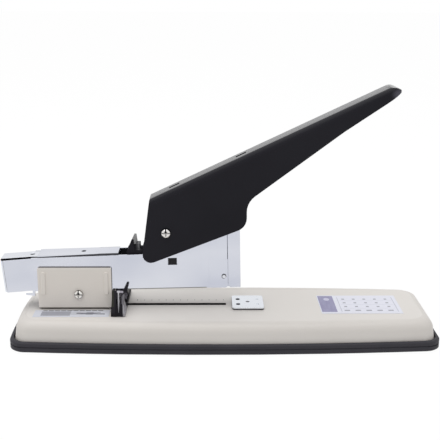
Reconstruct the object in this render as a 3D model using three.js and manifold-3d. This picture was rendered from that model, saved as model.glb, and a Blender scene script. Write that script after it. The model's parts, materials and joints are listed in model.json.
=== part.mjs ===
// Heavy duty stapler for thick stacks of paper, in millimetres
// +X points to the edge where paper enters, +Y away from the viewer, +Z up
// The origin is the centre of the underside
import * as THREE from 'three';
import { mergeVertices } from 'three/addons/utils/BufferGeometryUtils.js';
import Module from 'manifold-3d';

const wasm = await Module();
wasm.setup();

// Gaps and cuts
const gap = 0.3;
const overrun = 3;

// Base: pressed cover on a rubber rim, with a steel beam inside
const base = {
  length: 286,
  endWidth: 73,
  sideBulge: 5.5,
  rearBow: 1.9,
  bowPower: 6,
  cornerRadius: 9,
  height: 19.4,
  sheet: 1.5,
  lean: 1.2,
  shoulder: 7.3,
  cornerSteps: 8,
  sideSteps: 12,
  endSteps: 7,
};
const rim = {
  height: 7,
  proud: 2.5,
  edge: 0.8,
  grooveHeight: 3.4,
  grooveWidth: 0.7,
  grooveDepth: 0.5,
  ledgeHeight: 2.6,
  ledgeWidth: 2.4,
};
const plate = { sheet: 1.6 };
const beam = { rear: -130, front: 36, halfWidth: 17, sheet: 2 };
const baseScrew = {
  radius: 1.6,
  headRadius: 3,
  headHeight: 1,
  postRadius: 3.4,
  fromEnd: 22,
  halfSpacing: 22,
  blindEnd: 3,
};

// Depth slot along the middle of the base
const slot = { rear: -74, front: 1.5, width: 4 };

// Reversible anvil
const anvil = {
  x: 16.4,
  length: 21.6,
  width: 23.4,
  sheet: 1.4,
  cornerRadius: 1.6,
  pinRadius: 3,
  pinTipRadius: 1,
  pinLength: 10,
  clipRadius: 5.5,
  clipSheet: 1,
  pocketFromCentre: 6.7,
  pocketLength: 3.4,
  pocketWidth: 2.9,
  pocketDepth: 0.9,
  pocketSpacing: 9.3,
  dimpleRadius: 0.9,
  dimpleDepth: 0.3,
};

// Pivot of the arm, and the angle at which the arm rests
const pivot = {
  x: -98.1,
  aboveBase: 11.1,
  boltRadius: 1.6,
  headRadius: 3,
  headHeight: 1.9,
  recess: 0.9,
  recessRadius: 1.7,
  restTilt: 1.2,
};

// Magazine, which is sized by the crown of the staple
const staple = { crown: 12.8, wire: 0.7, sidePlay: 0.15 };
const magazine = {
  rear: -49.9,
  sheet: 0.7,
  floor: 2.2,
  height: 22.7,
  noseDrop: 3.2,
  noseLength: 10.5,
  endSheet: 1.2,
  rearLean: 1.4,
  droop: 1.1,
};
const rail = { rear: -44, height: 16.8, sheet: 0.8, slotWidth: 2.4, slotEnd: 5 };
const rod = { radius: 1.2, above: 8 };

// Arm side plates
const arm = {
  sheet: 1,
  rear: -31.2,
  front: 100.6,
  bottom: 2.2,
  topRear: 25.6,
  top: 26.8,
  earRadius: 7,
  tabLength: 4.6,
  tabHeight: 3.3,
  tabWidth: 1.6,
  riseStart: 44.2,
  riseLean: 4.8,
  shoulderHeight: 50,
  crestHeight: 62.5,
  padLength: 12.6,
  padRaise: 0.3,
  corner: 1.6,
};
const nose = {
  front: 109.3,
  wall: 0.9,
  height: 49.8,
  notchHeight: 1.6,
  notchWidth: 1.4,
};
const windowPlug = { x: 63.8, z: 21.4, length: 6.4, height: 4.9, sheet: 0.9 };
const headRivet = { x: 98.2, z: 10.2, radius: 1.1, headRadius: 1.6, headHeight: 0.45 };
const spacer = { x: 79, z: 32.8, radius: 1.8 };

// Bracket that carries the arm
const bracket = {
  rear: -125.3,
  front: -75.6,
  sheet: 1.25,
  lift: 0.9,
  height: 29.1,
  corner: 1.4,
  ribInset: 2.3,
  ribWidth: 3,
  ribRaise: 0.8,
  ribBottom: 10,
  ribHeight: 16,
  screwRadius: 1.5,
  screwHeadRadius: 2.7,
  screwHead: 1.4,
  rearScrewInset: 7.5,
  frontScrewInset: 18.5,
};

// Strips over the magazine
const cover = {
  sheet: 0.6,
  halfWidth: 6.1,
  lift: 0.5,
  front: 27.6,
  pull: 1.6,
  holeRadius: 1.6,
  holeX: -31,
};
const sleeve = {
  rear: -26.5,
  sheet: 0.6,
  rise: 0.7,
  holeX: 3.7,
};

// Latch in front of the strips
const latch = {
  pinX: 46.2,
  pinZ: 29.6,
  pinRadius: 1.2,
  hubRadius: 2.5,
  halfWidth: 6.2,
  blockHeight: 0.8,
  blockLength: 4.6,
  chamfer: 1.4,
  barHeight: 3.1,
  barRear: 33.2,
  finRear: 33.4,
  finFronts: [38.8, 40.3],
  finTip: 37.2,
  finHeights: [7.6, 8.6],
  finShifts: [0.1, 1.2],
  finWidth: 1.6,
  postRear: 39.4,
  postFront: 42.2,
  postHeight: 4,
  postWidth: 3.4,
};

// Pusher behind the staples
const pusher = { front: 97.6, length: 22, noseReach: 9.2, sheet: 0.45, slab: 3, legDrop: 9 };
const pusherSpring = { radius: 3, wire: 0.6 };

// Handle, measured from its own pivot
const handle = {
  x: 60.2,
  z: 41.85,
  sheet: 1.1,
  bend: 4,
  rearTop: [-10.7, 22.2],
  topEnd: [146.8, 96.95],
  tip: [153.2, 93.1],
  underBend: [115.5, 67.5],
  throat: [53.4, 20.8],
  toe: [53.6, 3.8],
  heel: [-17, -24],
  throatRadius: 13,
  toeRadius: 9,
  heelRadius: 5.5,
  tipRadius: 1.2,
  topEndRadius: 9,
  tipPlanRadius: 9.9,
  underBendRadius: 90,
  rearTopRadius: 1,
  slotLength: 7.4,
  slotWidth: 3.4,
  slotPlaces: [17.9, 66.7],
  tipWall: 9,
  hollowPlanRadius: 8,
};
const handleBolt = { radius: 2.2, headRadius: 3.1, headHeight: 1.9, bushRadius: 3.1 };

// Lever inside the handle that presses the driver
const lever = {
  halfWidth: 2.6,
  hubRadius: 6.6,
  noseX: 42.4,
  noseZ: 9.4,
  noseRadius: 3.5,
  nosePad: 4.6,
  waistX: 38.5,
  waistZ: 31,
  tabHalf: 0.8,
  tabBelow: 0.8,
};

// Driver in the nose
const driver = {
  blade: 0.7,
  halfWidth: 6.2,
  bladeFoot: 21.2,
  ramDepth: 7.2,
  ramHeight: 6,
  lugRear: 90.8,
  lugLift: 4,
  lugHeight: 3,
};

// Springs
const armSpring = { x: 17, radius: 4, wire: 1, curls: 5 };
const handleSpring = { radius: 5, wire: 0.9, curls: 2 };
const ramSpring = { radius: 1.8, wire: 0.5, curls: 6, x: 93.2, y: 5.1, studZ: 60.2, studRadius: 1.1 };
const curlSteps = 8;
const wireSides = 5;

// Paper stop that slides in the slot
const stop = {
  length: 10.1,
  footLength: 9.4,
  footHalf: 23.6,
  footHeight: 2.4,
  wingInner: 9.8,
  wingTop: 13.4,
  wingTopHalf: 11.4,
  bridge: 2.7,
  rearWall: 3,
  topBar: 0.8,
  sillHeight: 6.2,
  finFoot: 9,
  finRear: [[4.1, 6.9], [4.9, 8.3], [5.7, 9.4], [6.8, 10.5], [7.4, 11.7]],
  finFront: [[8.1, 11.7], [7.7, 8]],
  pocketFront: 7.2,
  recess: 1.8,
  stemInset: 2,
  stemLength: 5,
  ribFoot: 4.9,
  ribHead: 3.7,
  ribWidth: 0.7,
  hornRear: 7.3,
  hornFront: 9.8,
  hornTipRear: 9.6,
  hornTipFront: 11.3,
  hornTop: 18.3,
  hornTipRadius: 0.8,
  clampSheet: 1.6,
  clampHalf: 6,
  clampReach: 3,
};

// Labels on the base
const specLabel = { rear: 65.6, front: 120.6, near: -18.4, far: 15, sheet: 0.25 };
const sideLabel = { rear: -127.4, front: -76.8, near: -23.4, far: -11.4, sheet: 0.25 };

// Facets of round pieces
const facets = { screw: 24, pin: 18, arc: 5, bend: 3 };

// Shares of the sizes that they follow
const domeShares = [[1, 0.4], [0.93, 0.75], [0.72, 1]];
const crossShare = 0.26;
const grooveShare = 0.7;
const ribEndShare = 0.45;
const nutHeightShare = 0.8;
const nutWidthShare = 1.25;
const earShare = 0.9;
const rivetShare = 0.5;
const hookShare = 0.2;
const wallShare = 0.98;

// Widths that follow from the staple, from the inside out
const magazineInner = staple.crown / 2 + staple.sidePlay;
const magazineOuter = magazineInner + magazine.sheet;
const armInner = magazineOuter + gap + gap / 6;
const armOuter = armInner + arm.sheet;
const padOuter = armOuter + arm.padRaise;
const handleInner = padOuter + gap;
const handleOuter = handleInner + handle.sheet;
const bracketInner = armOuter + gap + gap / 6;
const bracketOuter = bracketInner + bracket.sheet;
const railOuter = magazineInner - staple.wire - gap;
const bushHalf = armInner - gap;

// Heights that follow from the base
const shellInside = base.height - base.sheet;
const plateTop = plate.sheet;
const beamTop = shellInside - gap;
const beamUnder = beamTop - beam.sheet;
const bracketFloor = base.height + bracket.lift;
const bracketWebTop = bracketFloor + bracket.sheet;
const pivotZ = base.height + pivot.aboveBase;
const anvilFloor = base.height + gap;
const anvilTop = anvilFloor + anvil.sheet;
const stopFloor = base.height + gap;

// Places along the nose, from the front back
const noseInside = nose.front - nose.wall;
const bladeFront = noseInside - gap;
const bladeRear = bladeFront - driver.blade;
const channelFront = bladeRear - gap;
const noseRear = arm.front + gap;

// Heights in the magazine
const floorTop = magazine.floor + magazine.sheet;
const railFloor = floorTop + gap;
const railTop = railFloor + rail.height;
const magazineTop = magazine.floor + magazine.height;
const rodZ = railFloor + rod.above;
const springRear = magazine.rear + magazine.endSheet + rearLeanAt(rodZ - pusherSpring.radius) + gap;
const coverFloor = magazineTop + cover.lift;
const coverTop = coverFloor + cover.sheet;

// How far the magazine's rear end leans in at a height
function rearLeanAt(z) {
  return (magazine.rearLean * (magazineTop - z)) / magazine.height;
}

const materials = {
  cream: { color: 0xdfdbd8, roughness: 0.5, metalness: 0 },
  creamPaint: { color: 0xc5c0ba, roughness: 0.45, metalness: 0 },
  rubber: { color: 0x36353c, roughness: 0.75, metalness: 0 },
  steel: { color: 0xb4b6bc, roughness: 0.4, metalness: 1 },
  chrome: { color: 0xc7cad6, roughness: 0.15, metalness: 1 },
  darkSteel: { color: 0x6a6b70, roughness: 0.45, metalness: 1 },
  blackPaint: { color: 0x222126, roughness: 0.4, metalness: 0 },
  blackPlastic: { color: 0x2b2a2e, roughness: 0.35, metalness: 0 },
  paper: { color: 0xdbdce7, roughness: 0.6, metalness: 0 },
};

// Solids and cuts
function toSolid(geometry) {
  const bare = geometry.clone();
  bare.deleteAttribute('normal');
  bare.deleteAttribute('uv');
  const merged = mergeVertices(bare, 1e-5);
  return new wasm.Manifold(new wasm.Mesh({
    numProp: 3,
    vertProperties: new Float32Array(merged.attributes.position.array),
    triVerts: new Uint32Array(merged.index.array),
  }));
}

function toGeometry(solid) {
  const mesh = solid.getMesh();
  const geometry = new THREE.BufferGeometry();
  geometry.setAttribute('position', new THREE.BufferAttribute(new Float32Array(mesh.vertProperties), 3));
  geometry.setIndex(new THREE.BufferAttribute(new Uint32Array(mesh.triVerts), 1));
  geometry.computeVertexNormals();
  return geometry;
}

function cut(geometry, ...tools) {
  let solid = toSolid(geometry);
  for (const tool of tools) {
    solid = solid.subtract(toSolid(tool));
  }
  return toGeometry(solid);
}

function join(geometry, ...others) {
  let solid = toSolid(geometry);
  for (const other of others) {
    solid = solid.add(toSolid(other));
  }
  return toGeometry(solid);
}

// Basic shapes, placed by their limits
function box(x0, x1, y0, y1, z0, z1) {
  const geometry = new THREE.BoxGeometry(x1 - x0, y1 - y0, z1 - z0);
  geometry.translate((x0 + x1) / 2, (y0 + y1) / 2, (z0 + z1) / 2);
  return geometry;
}

function rodAlongY(radius, x, z, y0, y1, sides = facets.pin) {
  const geometry = new THREE.CylinderGeometry(radius, radius, y1 - y0, sides);
  geometry.translate(x, (y0 + y1) / 2, z);
  return geometry;
}

function rodAlongZ(radius, x, y, z0, z1, sides = facets.pin) {
  const geometry = new THREE.CylinderGeometry(radius, radius, z1 - z0, sides);
  geometry.rotateX(Math.PI / 2);
  geometry.translate(x, y, (z0 + z1) / 2);
  return geometry;
}

function rodAlongX(radius, y, z, x0, x1, sides = facets.pin) {
  const geometry = new THREE.CylinderGeometry(radius, radius, x1 - x0, sides);
  geometry.rotateZ(Math.PI / 2);
  geometry.translate((x0 + x1) / 2, y, z);
  return geometry;
}

// An outline of corners [x, y, radius], each rounded by an arc that its walls have room for
function rounded(corners, steps = facets.arc) {
  const points = [];
  const count = corners.length;
  const places = corners.map(([x, y]) => new THREE.Vector2(x, y));
  const place = (i) => places[(i + count) % count];
  const halfAngle = (i) => {
    const toBefore = place(i - 1).clone().sub(place(i)).normalize();
    const toAfter = place(i + 1).clone().sub(place(i)).normalize();
    return Math.acos(THREE.MathUtils.clamp(toBefore.dot(toAfter), -1, 1)) / 2;
  };
  const wanted = corners.map(([, , radius = 0], i) => (radius === 0 ? 0 : radius / Math.tan(halfAngle(i))));
  const room = (i, j) => {
    const both = wanted[(i + count) % count] + wanted[(j + count) % count];
    const wall = place(i).distanceTo(place(j)) * wallShare;
    return both > wall ? wall / both : 1;
  };
  corners.forEach(([, , fullRadius = 0], i) => {
    const here = place(i);
    if (fullRadius === 0) {
      points.push(here);
      return;
    }
    const limit = Math.min(room(i, i - 1), room(i, i + 1));
    const radius = fullRadius * limit;
    const toBefore = place(i - 1).clone().sub(here).normalize();
    const toAfter = place(i + 1).clone().sub(here).normalize();
    const half = halfAngle(i);
    const reach = wanted[i] * limit;
    const centre = toBefore.clone().add(toAfter).normalize().multiplyScalar(radius / Math.sin(half)).add(here);
    const start = here.clone().addScaledVector(toBefore, reach);
    const end = here.clone().addScaledVector(toAfter, reach);
    const from = start.clone().sub(centre).angle();
    let sweep = end.clone().sub(centre).angle() - from;
    if (sweep > Math.PI) {
      sweep -= 2 * Math.PI;
    }
    if (sweep < -Math.PI) {
      sweep += 2 * Math.PI;
    }
    for (let k = 0; k <= steps; k += 1) {
      const angle = from + (sweep * k) / steps;
      points.push(new THREE.Vector2(Math.cos(angle), Math.sin(angle)).multiplyScalar(radius).add(centre));
    }
  });
  return points;
}

function extrude(points, depth) {
  return new THREE.ExtrudeGeometry(new THREE.Shape(points), { depth, bevelEnabled: false, steps: 1 });
}

// Outlines in X and Z, Y and Z, or X and Y, carried along the third axis
function plateXZ(points, y0, y1) {
  const geometry = extrude(points, y1 - y0);
  geometry.rotateX(Math.PI / 2);
  geometry.translate(0, y1, 0);
  return geometry;
}

function plateYZ(points, x0, x1) {
  const geometry = extrude(points, x1 - x0);
  const axes = new THREE.Matrix4().makeBasis(
    new THREE.Vector3(0, 1, 0),
    new THREE.Vector3(0, 0, 1),
    new THREE.Vector3(1, 0, 0),
  );
  geometry.applyMatrix4(axes);
  geometry.translate(x0, 0, 0);
  return geometry;
}

function plateXY(points, z0, z1) {
  const geometry = extrude(points, z1 - z0);
  geometry.translate(0, 0, z0);
  return geometry;
}

function rectangle(x0, x1, y0, y1, radius = 0) {
  return [[x0, y0, radius], [x1, y0, radius], [x1, y1, radius], [x0, y1, radius]];
}

// Screw with a pan head and a cross recess, its head toward -Y
function screwAlongY(bolt, x, z, headFace, end) {
  const head = new THREE.LatheGeometry([
    new THREE.Vector2(0, 0),
    new THREE.Vector2(bolt.headRadius, 0),
    ...domeShares.map(([out, up]) => new THREE.Vector2(bolt.headRadius * out, bolt.headHeight * up)),
    new THREE.Vector2(0, bolt.headHeight),
  ], facets.screw);
  head.rotateX(Math.PI);
  head.translate(x, headFace, z);
  const shank = rodAlongY(bolt.shankRadius, x, z, headFace - bolt.headHeight / 2, end);
  const top = headFace - bolt.headHeight;
  const floor = top + bolt.recess;
  const wide = bolt.recessRadius;
  const thin = bolt.recessRadius * crossShare;
  const barOne = box(x - wide, x + wide, top - overrun, floor, z - thin, z + thin);
  const barTwo = box(x - thin, x + thin, top - overrun, floor, z - wide, z + wide);
  return cut(join(head, shank), join(barOne, barTwo));
}

// Tube of wire along a helix whose axis is Z, starting at the origin
function coil(radius, wire, curls, length) {
  const positions = [];
  const index = [];
  const rings = curls * curlSteps + 1;
  const rise = (length - wire) / (curls * curlSteps);
  const centres = [];
  const slope = Math.atan2((length - wire) / curls, 2 * Math.PI * radius);
  for (let i = 0; i < rings; i += 1) {
    const turn = (2 * Math.PI * i) / curlSteps;
    const outward = new THREE.Vector3(Math.cos(turn), Math.sin(turn), 0);
    const along = new THREE.Vector3(-Math.sin(turn) * Math.cos(slope), Math.cos(turn) * Math.cos(slope), Math.sin(slope));
    const side = new THREE.Vector3().crossVectors(along, outward);
    const centre = outward.clone().multiplyScalar(radius);
    centre.z = wire / 2 + rise * i;
    centres.push(centre);
    for (let k = 0; k < wireSides; k += 1) {
      const angle = (2 * Math.PI * k) / wireSides;
      const point = centre.clone().addScaledVector(outward, (wire / 2) * Math.cos(angle));
      point.addScaledVector(side, (wire / 2) * Math.sin(angle));
      positions.push(point.x, point.y, point.z);
    }
  }
  for (let i = 0; i + 1 < rings; i += 1) {
    for (let k = 0; k < wireSides; k += 1) {
      const a = i * wireSides + k;
      const b = i * wireSides + ((k + 1) % wireSides);
      index.push(a, b, a + wireSides, b, b + wireSides, a + wireSides);
    }
  }
  const last = (rings - 1) * wireSides;
  for (let k = 1; k + 1 < wireSides; k += 1) {
    index.push(0, k + 1, k, last, last + k, last + k + 1);
  }
  const geometry = new THREE.BufferGeometry();
  geometry.setAttribute('position', new THREE.BufferAttribute(new Float32Array(positions), 3));
  geometry.setIndex(index);
  geometry.computeVertexNormals();
  const apart = centres.slice(curlSteps).flatMap((centre, i) => [-1, 0, 1]
    .filter((k) => i + k >= 0)
    .map((k) => centre.distanceTo(centres[i + k])));
  return { geometry, leastGap: Math.min(...apart) - wire };
}

// Scene graph: the base stays put, and the arm rests at a small tilt on its pivot
const stapler = new THREE.Group();
const tilted = new THREE.Group();
tilted.position.set(pivot.x, 0, pivotZ);
tilted.rotation.y = -THREE.MathUtils.degToRad(pivot.restTilt);
const onHandle = new THREE.Group();
onHandle.position.set(handle.x, 0, handle.z);
onHandle.rotation.y = -tilted.rotation.y;
tilted.add(onHandle);
stapler.add(tilted);

function add(name, geometry, finish, parent = stapler) {
  const mesh = new THREE.Mesh(geometry, new THREE.MeshStandardMaterial(materials[finish]));
  mesh.name = name;
  parent.add(mesh);
  return mesh;
}

// Outline of the base in plan, drawn in by an inset, at a height
function planRing(inset, z) {
  const halfLength = base.length / 2 - inset;
  const halfWidth = base.endWidth / 2 - inset;
  const radius = base.cornerRadius;
  const points = [];
  const corners = [[1, 1], [-1, 1], [-1, -1], [1, -1]];
  corners.forEach(([sx, sy], quarter) => {
    const cx = sx * (halfLength - radius);
    const cy = sy * (halfWidth - radius);
    for (let k = 0; k <= base.cornerSteps; k += 1) {
      const angle = (Math.PI / 2) * (quarter + k / base.cornerSteps);
      points.push([cx + radius * Math.cos(angle), cy + radius * Math.sin(angle)]);
    }
    const lengthwise = sx === sy;
    const steps = lengthwise ? base.sideSteps : base.endSteps;
    for (let k = 1; k < steps; k += 1) {
      const share = 1 - (2 * k) / steps;
      points.push(lengthwise
        ? [sx * share * (halfLength - radius), sy * halfWidth]
        : [sx * halfLength, sy * share * (halfWidth - radius)]);
    }
  });
  return points.map(([x, y]) => {
    const bulge = base.sideBulge * (1 - (x / halfLength) ** 2) * (Math.abs(y) / halfWidth);
    const bow = x < 0 ? base.rearBow * (y / halfWidth) ** 2 * (x / halfLength) ** base.bowPower : 0;
    return new THREE.Vector3(x + bow, y + Math.sign(y) * bulge, z);
  });
}

// Solid through rings of equal counts, closed by flat caps
function loft(rings) {
  const positions = [];
  const index = [];
  const count = rings[0].length;
  rings.flat().forEach((point) => positions.push(point.x, point.y, point.z));
  for (let i = 0; i + 1 < rings.length; i += 1) {
    for (let k = 0; k < count; k += 1) {
      const a = i * count + k;
      const b = i * count + ((k + 1) % count);
      index.push(a, b, a + count, b, b + count, a + count);
    }
  }
  const low = rings.length * count;
  const high = low + 1;
  positions.push(0, 0, rings[0][0].z, 0, 0, rings[rings.length - 1][0].z);
  const last = (rings.length - 1) * count;
  for (let k = 0; k < count; k += 1) {
    const next = (k + 1) % count;
    index.push(low, next, k, high, last + k, last + next);
  }
  const geometry = new THREE.BufferGeometry();
  geometry.setAttribute('position', new THREE.BufferAttribute(new Float32Array(positions), 3));
  geometry.setIndex(index);
  geometry.computeVertexNormals();
  return geometry;
}

// Rings of the cover's skin: a leaning side, a round shoulder and the flat top
function skinRings(skin, bottom, top) {
  const rings = [planRing(rim.proud + skin, bottom)];
  const radius = base.shoulder - skin;
  const side = rim.proud + base.lean + skin;
  for (let k = 0; k <= base.cornerSteps; k += 1) {
    const angle = (Math.PI / 2) * (k / base.cornerSteps);
    rings.push(planRing(side + radius * (1 - Math.cos(angle)), top - radius * (1 - Math.sin(angle))));
  }
  return rings;
}

const baseScrewPlaces = [-1, 1].flatMap((sx) => [-1, 1].map((sy) => [
  sx * (base.length / 2 - baseScrew.fromEnd),
  sy * baseScrew.halfSpacing,
]));
const bracketScrewPlaces = [
  bracket.rear + bracket.rearScrewInset,
  bracket.front - bracket.frontScrewInset,
];

function slotCut(play) {
  return box(slot.rear - play, slot.front + play, -slot.width / 2 - play, slot.width / 2 + play,
    plateTop, base.height + overrun);
}

// Base cover, with the slot, the anvil hole and the bracket's screw holes
function buildShell() {
  const outer = loft(skinRings(0, rim.ledgeHeight + gap, base.height));
  const inner = loft([
    ...skinRings(base.sheet, rim.ledgeHeight + gap - overrun, shellInside),
  ]);
  const holes = bracketScrewPlaces.map((x) => rodAlongZ(
    bracket.screwRadius + gap, x, 0, plateTop, base.height + overrun));
  const pinHole = rodAlongZ(anvil.pinRadius + gap, anvil.x, 0, plateTop, base.height + overrun);
  return cut(outer, inner, slotCut(0), pinHole, ...holes);
}

// Rubber rim: a band with a fine groove and a ledge that carries the cover
function buildRim() {
  const grooveTop = rim.grooveHeight + rim.grooveWidth;
  const outer = loft([
    planRing(rim.edge, 0),
    planRing(0, rim.edge),
    planRing(0, rim.grooveHeight),
    planRing(rim.grooveDepth, rim.grooveHeight),
    planRing(rim.grooveDepth, grooveTop),
    planRing(0, grooveTop),
    planRing(0, rim.height - rim.edge),
    planRing(rim.edge, rim.height),
  ]);
  const seat = rim.proud - gap;
  const hole = loft([
    planRing(seat + rim.ledgeWidth, -overrun),
    planRing(seat + rim.ledgeWidth, rim.ledgeHeight),
    planRing(seat, rim.ledgeHeight),
    planRing(seat, rim.height + overrun),
  ]);
  return cut(outer, hole);
}

function buildPlate() {
  const inset = rim.proud + rim.ledgeWidth;
  const sheet = loft([planRing(inset, 0), planRing(inset, plateTop)]);
  const holes = baseScrewPlaces.map(([x, y]) => join(
    rodAlongZ(baseScrew.radius + gap, x, y, -overrun, plateTop + overrun),
    rodAlongZ(baseScrew.headRadius + gap, x, y, -overrun, baseScrew.headHeight + gap, facets.screw),
  ));
  return cut(sheet, ...holes);
}

// Posts under the cover take the screws from below
function buildPost(x, y) {
  return cut(
    rodAlongZ(baseScrew.postRadius, x, y, plateTop + gap, shellInside - gap),
    rodAlongZ(baseScrew.radius + gap, x, y, plateTop, shellInside - baseScrew.blindEnd),
  );
}

function buildBaseScrew(x, y) {
  return join(
    rodAlongZ(baseScrew.headRadius, x, y, 0, baseScrew.headHeight, facets.screw),
    rodAlongZ(baseScrew.radius, x, y, baseScrew.headHeight / 2, shellInside - baseScrew.blindEnd - gap),
  );
}

// Steel beam under the cover, an upside-down channel
function buildBeam() {
  const half = beam.halfWidth;
  const profile = [
    [-half, plateTop + gap], [-half + beam.sheet, plateTop + gap],
    [-half + beam.sheet, beamUnder], [half - beam.sheet, beamUnder],
    [half - beam.sheet, plateTop + gap], [half, plateTop + gap],
    [half, beamTop], [-half, beamTop],
  ];
  const body = plateYZ(rounded(profile), beam.rear, beam.front);
  const holes = bracketScrewPlaces.map((x) => rodAlongZ(
    bracket.screwRadius + gap, x, 0, beamUnder - overrun, beamTop + overrun));
  const pinHole = rodAlongZ(anvil.pinRadius + gap, anvil.x, 0, beamUnder - overrun, beamTop + overrun);
  const window = box(slot.rear, slot.front, -slot.width / 2, slot.width / 2,
    beamUnder - overrun, beamTop + overrun);
  return cut(body, window, pinHole, ...holes);
}

add('base_shell', buildShell(), 'cream');
add('base_rim', buildRim(), 'rubber');
add('bottom_plate', buildPlate(), 'darkSteel');
baseScrewPlaces.forEach(([x, y], i) => {
  add(`base_post_${i + 1}`, buildPost(x, y), 'steel');
  add(`base_screw_${i + 1}`, buildBaseScrew(x, y), 'steel');
});
add('base_beam', buildBeam(), 'steel');

function buildLabel(label) {
  return box(label.rear, label.front, label.near, label.far, base.height, base.height + label.sheet);
}
add('spec_label', buildLabel(specLabel), 'paper');
add('side_label', buildLabel(sideLabel), 'paper');

// Anvil plate with a pair of deep pockets and a pair of shallow ones, turned about its pin
function buildAnvil() {
  const x = anvil.x;
  const outline = rounded(rectangle(x - anvil.length / 2, x + anvil.length / 2,
    -anvil.width / 2, anvil.width / 2, anvil.cornerRadius), facets.bend);
  const pockets = [-1, 1].map((side) => {
    const cx = x - anvil.pocketFromCentre;
    const cy = (side * anvil.pocketSpacing) / 2;
    const pocket = rounded(rectangle(cx - anvil.pocketWidth / 2, cx + anvil.pocketWidth / 2,
      cy - anvil.pocketLength / 2, cy + anvil.pocketLength / 2, anvil.pocketWidth / 2), facets.bend);
    return plateXY(pocket, anvilTop - anvil.pocketDepth, anvilTop + overrun);
  });
  const dimples = [-1, 1].map((side) => rodAlongZ(anvil.dimpleRadius, x + anvil.pocketFromCentre,
    (side * anvil.pocketSpacing) / 2, anvilTop - anvil.dimpleDepth, anvilTop + overrun));
  const pinHole = rodAlongZ(anvil.pinRadius + gap, x, 0, anvilFloor - overrun, anvilTop - anvil.sheet / 2);
  const tipHole = rodAlongZ(anvil.pinTipRadius + gap, x, 0, anvilFloor - overrun, anvilTop + overrun);
  return cut(plateXY(outline, anvilFloor, anvilTop), ...pockets, ...dimples, pinHole, tipHole);
}

function buildAnvilPin() {
  const low = anvilTop - anvil.sheet / 2 - gap - anvil.pinLength;
  const groove = cut(
    rodAlongZ(anvil.pinRadius + overrun, anvil.x, 0, low + anvil.clipSheet, low + anvil.clipSheet * 2 + gap),
    rodAlongZ(anvil.pinRadius * grooveShare, anvil.x, 0, low, low + anvil.clipSheet * 3 + gap),
  );
  const tip = rodAlongZ(anvil.pinTipRadius, anvil.x, 0, low + anvil.pinLength / 2, anvilTop);
  return cut(join(rodAlongZ(anvil.pinRadius, anvil.x, 0, low, low + anvil.pinLength), tip), groove);
}

function buildAnvilClip() {
  const low = anvilTop - anvil.sheet / 2 - gap - anvil.pinLength + anvil.clipSheet + gap / 2;
  const ring = rodAlongZ(anvil.clipRadius, anvil.x, 0, low, low + anvil.clipSheet, facets.screw);
  const hole = rodAlongZ(anvil.pinRadius * grooveShare + gap, anvil.x, 0, low - overrun, low + overrun);
  return cut(ring, hole);
}

add('anvil_plate', buildAnvil(), 'steel');
add('anvil_pin', buildAnvilPin(), 'darkSteel');
add('anvil_clip', buildAnvilClip(), 'darkSteel');

// Bracket: a channel of bent sheet with ribs pressed into its cheeks
function buildBracket() {
  const top = bracketFloor + bracket.height;
  const profile = [
    [-bracketOuter, bracketFloor, bracket.sheet], [bracketOuter, bracketFloor, bracket.sheet],
    [bracketOuter, top], [bracketInner, top],
    [bracketInner, bracketWebTop], [-bracketInner, bracketWebTop],
    [-bracketInner, top], [-bracketOuter, top],
  ];
  const channel = plateYZ(rounded(profile, facets.bend), bracket.rear, bracket.front);
  const side = plateXZ(rounded([
    [bracket.rear, bracketFloor - overrun, 0], [bracket.front, bracketFloor - overrun, 0],
    [bracket.front, top, bracket.corner], [bracket.rear, top, bracket.corner],
  ]), -bracketOuter - overrun, bracketOuter + overrun);
  const ribs = [
    bracket.rear + bracket.ribInset, bracket.front - bracket.ribInset - bracket.ribWidth,
  ].map((x) => plateXZ(rounded(rectangle(x, x + bracket.ribWidth,
    bracketFloor + bracket.ribBottom, bracketFloor + bracket.ribBottom + bracket.ribHeight,
    bracket.ribWidth * ribEndShare), facets.bend), -bracketOuter - bracket.ribRaise, bracketOuter + bracket.ribRaise));
  const insideCut = box(bracket.rear - overrun, bracket.front + overrun, -bracketInner, bracketInner,
    bracketWebTop, top + overrun);
  const body = toSolid(channel).intersect(toSolid(side));
  const holes = bracketScrewPlaces.map((x) => rodAlongZ(
    bracket.screwRadius + gap, x, 0, bracketFloor - overrun, bracketWebTop + overrun));
  const bore = rodAlongY(pivot.boltRadius + gap, pivot.x, pivotZ, -bracketOuter - overrun, bracketOuter + overrun);
  return cut(join(toGeometry(body), ...ribs), insideCut, bore, ...holes);
}

function buildBracketScrew(x) {
  return join(
    rodAlongZ(bracket.screwHeadRadius, x, 0, bracketWebTop + gap,
      bracketWebTop + gap + bracket.screwHead, facets.screw),
    rodAlongZ(bracket.screwRadius, x, 0, beamUnder - bracket.screwHead * 2, bracketWebTop + gap * 2),
  );
}

function buildBolt(bolt, radius, x, z, half) {
  return screwAlongY({
    headRadius: bolt.headRadius,
    headHeight: bolt.headHeight,
    shankRadius: radius,
    recess: pivot.recess,
    recessRadius: pivot.recessRadius,
  }, x, z, -half - gap, half + bolt.headHeight + gap);
}

function buildNut(bolt, radius, x, z, half) {
  const sides = 6;
  const low = half + gap;
  const high = half + gap + bolt.headHeight * nutHeightShare;
  const body = rodAlongY(bolt.headRadius * nutWidthShare, x, z, low, high, sides);
  return cut(body, rodAlongY(radius + gap, x, z, low - overrun, high + overrun));
}

add('pivot_bracket', buildBracket(), 'creamPaint');
bracketScrewPlaces.forEach((x, i) => add(`bracket_screw_${i + 1}`, buildBracketScrew(x), 'steel'));
add('pivot_bolt', buildBolt(pivot, pivot.boltRadius, pivot.x, pivotZ, bracketOuter), 'chrome');
add('pivot_nut', buildNut(pivot, pivot.boltRadius, pivot.x, pivotZ, bracketOuter), 'steel');

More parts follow.
